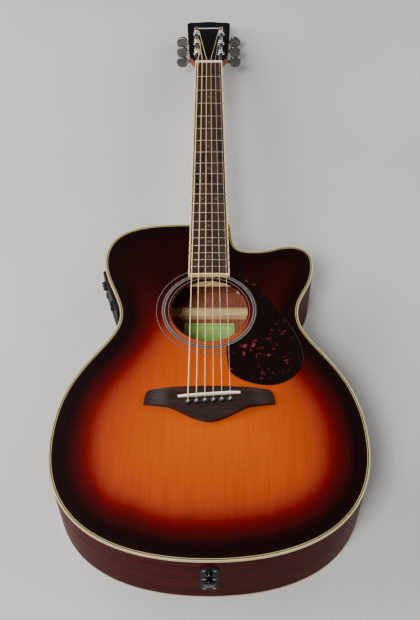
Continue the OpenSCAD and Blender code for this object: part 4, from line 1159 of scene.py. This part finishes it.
def make_heel_cap():
    foot = joint_w * (1 - heel_taper) / 2
    tip = heel_y - joint_y
    knots = [((0, joint_y), (0, 0), (0, 0)), ((foot, joint_y), (0, 0), (0, 6)),
             ((foot - 7, joint_y + tip), (5, 4), (-5, 0)), ((0, joint_y + tip), (-3, 0), (0, 0))]
    bm = slab(both_halves(chain(knots, 8)), cap_rise, cap_rise + heel_cap_t)
    round_off(bm, 0.6, 2, where=lambda c: c.z < 1)
    piece("heel_cap_lacquered", onto_back(bm), [GLOSS_ABS], nodes=["heel_cap"])


# ---- strings ----

def string_path(i):
    """From the ball under the bridge plate, over the saddle and the nut, to the post."""
    k, r = i + 1, string_radii[i]
    pin = pin_place(i)
    back_of_hole = pin.y + pin_hole_r + r
    xs, xn = spread(i, saddle_spread), spread(i, nut_spread)
    post = post_place(k)
    beside = post.x - tuner_side(k) * (post_r + 2 * r + free_gap + r)
    end = HEAD @ Vector((beside, post.y, string_level))
    points = [Vector((pin.x, back_of_hole, -top_t - plate_t - 2)), Vector((pin.x, back_of_hole, bridge_t - 0.6)),
              Vector((xs, saddle_y(xs) - saddle_t / 2, saddle_top + r - 0.1)),
              Vector((xs, saddle_y(xs), saddle_top + r)),
              Vector((xn, nut_y, nut_floor + r)), Vector((xn, nut_y + nut_t, nut_floor + r)), end]
    path = []
    for a, b in zip(points, points[1:]):
        steps = 12 if (b - a).length > 200 else 1
        path += [a.lerp(b, j / steps) for j in range(steps)]
    return path + [end]


def make_strings():
    for name, chosen, finish, slot, node in (("plain_steel_strings", (4, 5), STEEL, "steel", "plain_strings"),
                                             ("bronze_wound_strings", (0, 1, 2, 3), BRONZE, "bronze", "wound_strings")):
        bm = bmesh.new()
        for i in chosen:
            gather(bm, wire(string_path(i), string_radii[i], 10))
            pin = pin_place(i)
            ball = turned([(0.7, -1.5), (ball_r - 0.3, -1.5), (ball_r, -1.1), (ball_r, 1.1), (ball_r - 0.3, 1.5),
                           (0.7, 1.5), (0.7, -1.5)], 16)
            place = shift(pin.x, pin.y + pin_hole_r + ball_r - 0.5, -top_t - plate_t - ball_r - 0.1)
            gather(bm, moved(ball, place, swing(pi / 2, "Y")))
        piece(name, bm, [finish], nodes=[node], smooth=60)


# ---- tuners ----

def hexagon(r, low, high):
    bm = slab([(r * cos(pi * i / 3), r * sin(pi * i / 3)) for i in range(6)], low, high)
    return round_off(bm, 0.35, 2, where=lambda c: c.z > high - 0.01)


def screw():
    """A pan-headed cross-slot wood screw that points up, with its head below z = 0."""
    head = turned([(0, -1.3), (0.9, -1.25), (1.5, -1.0), (1.9, -0.5), (1.9, 0), (1, 0), (1, 9), (0, 10.5)], 20)
    for x, y in ((1.2, 0.25), (0.25, 1.2)):
        head = carve(head, bar((-x, -y, -2), (x, y, -0.7)))
    return head


def make_tuner_cases():
    bm = bmesh.new()
    screws = bmesh.new()
    bushings = bmesh.new()
    one_screw = screw()
    for k in range(1, 7):
        s, place = tuner_side(k), at_tuner(k)
        case = bar((-case_half, -case_back, -head_t - case_h), (case_half, case_front, -head_t))
        round_off(case, 2.2, 4)
        gather(bm, moved(case, place))
        collar = turned([(0, -1), (3.4, -1), (3.4, 2.2), (3.0, 3.0), (2.1, 3.4), (2.1, 0), (0, 0)], 24)
        gather(bm, moved(collar, place, shift(s * case_half, worm_offset, worm_z), swing(s * pi / 2, "Y")))
        ear = bar((-ear_len / 2, -case_back - ear_len, -head_t - 1.6), (ear_len / 2, -case_back + 1, -head_t))
        round_off(ear, 2.4, 4, limit=80, where=lambda c: c.y < -case_back - 1)
        gather(bm, moved(ear, place))
        gather(screws, moved(one_screw.copy(), place, shift(0, -case_back - ear_len / 2, -head_t - 1.6)))
        washer = turned([(bush_r, -8), (4.4, -8), (4.4, 0), (6.8, 0), (6.8, 0.7), (6.5, 1.0), (bush_r, 1.0),
                         (bush_r, -8)])
        neck = turned([(bush_r, 1), (4.9, 1), (4.9, 3.0), (4.5, 3.4), (bush_r, 3.4), (bush_r, 1)])
        for part in (washer, neck, hexagon(5.8, 1.0, 2.8)):
            gather(bushings, moved(part, place))
    for x, z in plate_screws:
        gather(screws, moved(one_screw.copy(), shift(x, tail_y - plate_th - 0.15, plate_top + z), swing(-pi / 2, "X")))
    piece("tuner_cases", bm, [CHROME], nodes=["tuner_housings"])
    piece("tuner_bushing_nuts", bushings, [CHROME], nodes=["tuner_bushings"])
    piece("cross_head_screws", screws, [CHROME], nodes=["wood_screws"])


def make_button(k):
    s = tuner_side(k)
    reach = button_reach
    w, h, t = button_size[0] / 2, button_size[1] / 2, button_size[2]
    outline = []
    for i in range(56):
        a = 2 * pi * i / 56
        outline.append((w + w * copysign(abs(cos(a)) ** 0.78, cos(a)),
                        h * copysign(abs(sin(a)) ** 0.78, sin(a)) * (1 - 0.12 * cos(a))))
    knob = round_off(slab(outline, -t / 2, t / 2), 1.9, 5, limit=60)
    bm = moved(knob, shift(reach, 0, 0), swing(pi / 2, "X"))
    spindle = turned([(0, -case_half + case_wall + free_gap), (worm_r, -case_half + case_wall + free_gap),
                      (worm_r, case_half - case_wall - free_gap), (shaft_r, case_half - case_wall - free_gap),
                      (shaft_r, reach - 3.2), (2.7, reach - 2.6), (3.0, reach - 1.6), (2.8, reach + 0.6),
                      (2.2, reach + 2.4), (0, reach + 2.6)], 24)
    gather(bm, moved(spindle, swing(pi / 2, "Y")))
    turn = swing(0 if s > 0 else pi, "Z")
    bm = moved(bm, at_tuner(k), shift(0, worm_offset, worm_z), turn)
    piece(f"tuner_button_{k}_oval", bm, [DARK_CHROME], f"button_{k}", [f"tuner_button_{k}"])


def make_post(k):
    """A post with its gear, and the string's turns on it."""
    r = string_radii[k - 1]
    low = -head_t - case_h + case_wall + free_gap
    bm = turned([(0, low), (post_r, low), (post_r, worm_z - gear_t / 2), (gear_r, worm_z - gear_t / 2),
                 (gear_r, worm_z + gear_t / 2), (post_r, worm_z + gear_t / 2), (post_r, 3.4), (post_r - 0.1, 8.6),
                 (post_r, 9.6), (post_r, 11.6), (post_r - 0.3, 12.4), (post_r - 1.2, 12.9), (0, 13)], 32)
    turns, round_steps = 3 if r > 0.35 else 5, 20       # thin strings take more turns
    pitch = 2 * r * 1.06
    radius = post_r + r - 0.08
    start = string_level - pitch * turns / 2
    s = tuner_side(k)
    helix = [Vector((-s * radius * cos(a), radius * sin(a), start + pitch * a / (2 * pi)))
             for a in (2 * pi * j / round_steps for j in range(turns * round_steps + 1))]
    coil = wire(helix, r, 8, aside=(0, 0, 1))
    gather(bm, coil, index=1)
    hole = turned([(0, -post_r - 0.02), (0.9, -post_r - 0.02), (0.9, post_r + 0.02), (0, post_r + 0.02)], 16)
    gather(bm, moved(hole, shift(0, 0, post_hole_z), swing(pi / 2, "X")), index=2)
    moved(bm, at_tuner(k))
    wrap = BRONZE if k <= 4 else STEEL
    piece(f"tuner_post_{k}_wound", bm, [CHROME, wrap, GLOSS_ABS], f"post_{k}", [f"tuner_post_{k}"])


# ---- electrics ----

def body_solid():
    return slab(body_outline, -tail_depth - 20, 1)


def make_panel():
    deep = plug_depth + 6
    bm = bar((-6, -panel_len / 2, -panel_h / 2), (panel_stand, panel_len / 2, panel_h / 2))
    corners = [e for e in bm.edges if abs((e.verts[0].co - e.verts[1].co).x) > 1]
    bmesh.ops.bevel(bm, geom=corners, offset=5, offset_type="OFFSET", segments=6, affect="EDGES", profile=0.5,
                    material=-1)
    round_off(bm, 1.1, 3, where=lambda c: c.x > panel_stand - 0.01)
    bm = carve(bm, moved(body_solid(), PANEL.inverted()))
    inner = (panel_len / 2 - panel_rim, panel_h / 2 - panel_rim)
    plug = bar((-plug_depth, -inner[0], -inner[1]), (2, inner[0], inner[1]))
    bm = carve(bm, plug, "UNION")
    tools = bmesh.new()
    run = slider_travel / 2 + stem[1] / 2 + free_gap
    for z in slider_zs:
        gather(tools, bar((-deep, drawer_y - run, z - slot_half_h), (clear, drawer_y + run, z + slot_half_h)))
    for z, r in ((knob_z, 3.05), (switch_z, switch_r + 0.05)):
        hole = turned([(0, -deep), (r, -deep), (r, clear), (0, clear)])
        gather(tools, moved(hole, shift(0, knob_y, z), swing(pi / 2, "Y")))
    w, h = drawer_face[0] / 2 + free_gap, drawer_face[1] / 2 + free_gap
    gather(tools, bar((-deep, drawer_y - w, drawer_z - h), (clear, drawer_y + w, drawer_z + h)))
    bm = carve(bm, tools)
    piece("control_panel", moved(bm, PANEL), [TEXTURED_ABS], nodes=["preamp_panel"])


def make_knob():
    rings = []
    base = panel_stand + free_gap
    for z, r, flute in ((0, knob_r, 0.35), (knob_h - 1.2, knob_r - 0.2, 0.35), (knob_h - 0.3, knob_r - 0.9, 0.2),
                        (knob_h, knob_r - 1.8, 0)):
        radii = [r - flute * (i % 3 == 0) for i in range(72)]
        rings.append([(radius * cos(2 * pi * i / 72), radius * sin(2 * pi * i / 72), base + z)
                      for i, radius in enumerate(radii)])
    bm = gather(loft(rings), turned([(0, stem_low), (3, stem_low), (3, base + 1), (0, base + 1)], 24))
    gather(bm, bar((-0.5, knob_r - 5.6, base + knob_h - 0.05), (0.5, knob_r - 2, base + knob_h + 0.05)), index=1)
    moved(bm, PANEL, shift(0, knob_y, knob_z), swing(pi / 2, "Y"))
    piece("fluted_volume_knob", bm, [GLOSS_ABS, BONE], "knob", ["volume_knob"])


def make_sliders():
    low = panel_stand + free_gap
    tip, y, z = low + slider_cap[0], slider_cap[1] / 2, slider_cap[2] / 2
    for level, name in zip(slider_zs, ("bass", "middle", "treble")):
        cap = bar((low, -y, -z), (tip, y, z))
        for v in cap.verts:     # tapered towards the fingertip
            if v.co.x > panel_stand + 2:
                v.co.y *= 0.8
                v.co.z *= 0.8
        round_off(cap, 0.5, 3)
        gather(cap, bar((tip - 0.04, -0.3, -1.5), (tip + 0.04, 0.3, 1.5)), index=1)
        gather(cap, bar((stem_low, -stem[1] / 2, -stem[0] / 2), (panel_stand + 1, stem[1] / 2, stem[0] / 2)), index=0)
        moved(cap, PANEL, shift(0, drawer_y, level))
        piece(f"slider_cap_{name}", cap, [GLOSS_ABS, BONE], f"slider_{name}", [f"slider_{name}"])


def make_switch():
    top = panel_stand + switch_stand
    bm = turned([(0, stem_low), (switch_r, stem_low), (switch_r, top - 0.7), (switch_r - 0.2, top - 0.2),
                 (switch_r - 0.7, top), (1.8, top - 0.25), (0, top - 0.35)])
    moved(bm, PANEL, shift(0, knob_y, switch_z), swing(pi / 2, "Y"))
    piece("tuner_push_switch", bm, [GLOSS_ABS], "switch", ["tuner_switch"])


def make_drawer():
    y, z = drawer_face[0] / 2, drawer_face[1] / 2
    front = panel_stand + drawer_proud
    bm = bar((-plug_depth, -y, -z), (front, y, z))
    round_off(bm, 0.6, 3, where=lambda c: c.x > front - 0.01)
    for i in range(5):      # finger ribs on the front
        gather(bm, round_off(bar((front - 0.1, -5 + i * 2.2, -3), (front, -4 + i * 2.2, 3)), 0.04, 1))
    tray = bar((-plug_depth - cell[0] - 1, -y, -z), (-plug_depth + 1, y, z - drawer_wall - 0.4))
    hollow = bar((-plug_depth - cell[0] - 2, -y + drawer_wall, -z + drawer_wall), (-plug_depth, y - drawer_wall, z + 5))
    gather(bm, carve(tray, hollow))
    moved(bm, PANEL, shift(0, drawer_y, drawer_z))
    piece("battery_drawer_tray", bm, [TEXTURED_ABS], "drawer", ["battery_drawer"])
    bed, nose = -z + drawer_wall, -plug_depth - 3       # the tray's floor, and the battery's end below its studs
    block = round_off(bar((-plug_depth - cell[0], -cell[1] / 2, bed), (nose, cell[1] / 2, bed + cell[2])), 1.2, 3)
    for s, r in ((-1, 3.2), (1, 2.8)):
        stud = turned([(0, 0), (r, 0), (r, 2.6), (r - 0.4, 3), (0, 3)], 20)
        gather(block, moved(stud, shift(nose, s * 6.3, bed + cell[2] / 2), swing(pi / 2, "Y")), index=1)
    moved(block, PANEL, shift(0, drawer_y, drawer_z))
    piece("block_battery", block, [WRAP, STEEL], "drawer", ["battery"])


def oblong(w, length):
    r, run = w / 2, (length - w) / 2
    return [(r * cos(a), copysign(run, sin(a)) + r * sin(a)) for a in (2 * pi * (i + 0.5) / 48 for i in range(48))]


def make_end_plate():
    bm = slab(oblong(plate_w, plate_len), 0, plate_th + 3)
    round_off(bm, 0.7, 3, where=lambda c: c.z < 0.01)
    moved(bm, shift(0, tail_y - plate_th, plate_top - plate_len / 2), swing(-pi / 2, "X"))
    bm = carve(bm, body_solid())
    piece("end_plate", bm, [TEXTURED_ABS], nodes=["jack_plate"])

    sleeve = turned([(jack_bore_r, 0.2), (4.0, 0), (jack_r - 0.3, 0), (jack_r, 0.3), (jack_r, jack_len),
                     (jack_bore_r, jack_len), (jack_bore_r, 0.2)])
    nut_bore = turned([(0, -5), (jack_r - 0.1, -5), (jack_r - 0.1, 5), (0, 5)])
    ring = carve(moved(hexagon(7, -2.6, 0), swing(pi, "X")), nut_bore)
    gather(sleeve, moved(ring, shift(0, 0, 0.4)))
    moved(sleeve, shift(0, tail_y - plate_th - 3, jack_z), swing(-pi / 2, "X"))
    piece("jack_socket", sleeve, [DIMMED_NICKEL], nodes=["output_jack"])

    knob = turned([(0, -16), (2, -16), (2, 0), (5.3, 0), (5.5, 0.3), (5.3, 0.9), (4.5, 1.4), (3.6, 2.6), (3.2, 4.4),
                   (3.2, 6.6), (3.6, 8), (4.6, 9.1), (6.2, 9.9), (6.9, 10.6), (7.0, 11.3), (6.8, 12.1), (6.1, 12.8),
                   (4.2, 13.2), (1.6, 13.35), (1.2, 13.0), (0, 12.9)], 36)
    moved(knob, shift(0, tail_y - plate_th, strap_z), swing(pi / 2, "X"))
    piece("strap_button_turned", knob, [DIMMED_NICKEL], nodes=["strap_button"], smooth=50)


# ---- all of it ----

make_soundboard()
make_edges()
window_half = (panel_len / 2 - panel_rim + 0.2, panel_h / 2 - panel_rim + 0.2)
panel_window = bar((-clear, -window_half[0], -window_half[1]), (clear, *window_half))
make_side("side_treble_wall", treble_rim)
make_side("side_bass_wall", bass_rim, moved(panel_window, PANEL))
make_back()
make_linings()
make_back_braces()
make_label()
make_rosette()
make_pickguard()
make_bridge()
make_pins()
make_neck()
make_head_face()
make_fingerboard()
make_frets()
make_dots()
make_nut()
make_heel_cap()
make_strings()
make_tuner_cases()
for k in range(1, 7):
    make_button(k)
    make_post(k)
make_panel()
make_knob()
make_sliders()
make_switch()
make_drawer()
make_end_plate()
for node, finish, bevel in (
        ("neck_block", MAHOGANY, 0.5), ("tail_block", MAHOGANY, 0.5), ("top_braces", SPRUCE, 1.5),
        ("bridge_plate", MAHOGANY, 0.4), ("saddle_pickup", STEEL, 0.1), ("truss_rod", STEEL, 0.1),
        ("truss_rod_nut", BRASS, 0.2), ("preamp_housing", TEXTURED_ABS, 0.4), ("circuit_board", BOARD, 0.1)):
    dress(node, finish, bevel)

# ---- floor, light and camera ----

# Matt studio paint: a pale, even grey with the faintest mottle.
FLOOR = material("matt_floor_paint", patterned, size=(300,), surface={"Roughness": 0.85, "IOR": 1.45},
                 shades=[(0.3, "#bebcb9"), (0.7, "#c5c3c0")])
floor_bm = bmesh.new()
bmesh.ops.create_grid(floor_bm, x_segments=1, y_segments=1, size=8)
floor_mesh = bpy.data.meshes.new("floor")
floor_bm.to_mesh(floor_mesh)
floor_mesh.materials.append(FLOOR)
floor = bpy.data.objects.new("floor", floor_mesh)
floor.location.z = -0.0006
bpy.context.scene.collection.objects.link(floor)

world = bpy.data.worlds.new("studio")
world.use_nodes = True
backdrop = world.node_tree.nodes["Background"].inputs
backdrop["Color"].default_value = tint("#f3f6f9")
backdrop["Strength"].default_value = 0.03
bpy.context.scene.world = world


def soft_box(name, place, aim, size, power):
    lamp = bpy.data.lights.new(name, "AREA")
    lamp.shape = "RECTANGLE"
    lamp.size, lamp.size_y = size
    lamp.energy = power
    obj = bpy.data.objects.new(name, lamp)
    obj.location = place
    obj.rotation_mode = "QUATERNION"
    obj.rotation_quaternion = (Vector(aim) - Vector(place)).to_track_quat("-Z", "Y")
    bpy.context.scene.collection.objects.link(obj)


soft_box("key", (-0.68, -1.15, 2.15), (0, 0.1, 0), (0.7, 0.7), 60)
soft_box("left", (-1.8, 0.1, 1.1), (0, 0.1, 0), (1.1, 1.0), 32)
soft_box("left_back", (-1.5, 1.4, 1.5), (0, 0.2, 0), (1.2, 1.0), 26)
soft_box("right_back", (1.5, 1.6, 1.2), (0, 0.2, 0), (1.2, 1.0), 18)
soft_box("right", (1.8, 0.0, 1.1), (0, 0.1, 0), (1.1, 1.0), 12)

camera = bpy.data.cameras.new("camera")
camera.lens = 54.0
camera.sensor_width = 36
camera_object = bpy.data.objects.new("camera", camera)
camera_object.location = (0.0021, -0.5686, 1.1055)
tilt = Matrix.Rotation(radians(0.067), 3, "Z") @ Matrix.Rotation(radians(34.7), 3, "X")
camera_object.rotation_euler = (tilt @ Matrix.Rotation(radians(-0.2), 3, "Z")).to_euler()
bpy.context.scene.collection.objects.link(camera_object)
bpy.context.scene.camera = camera_object
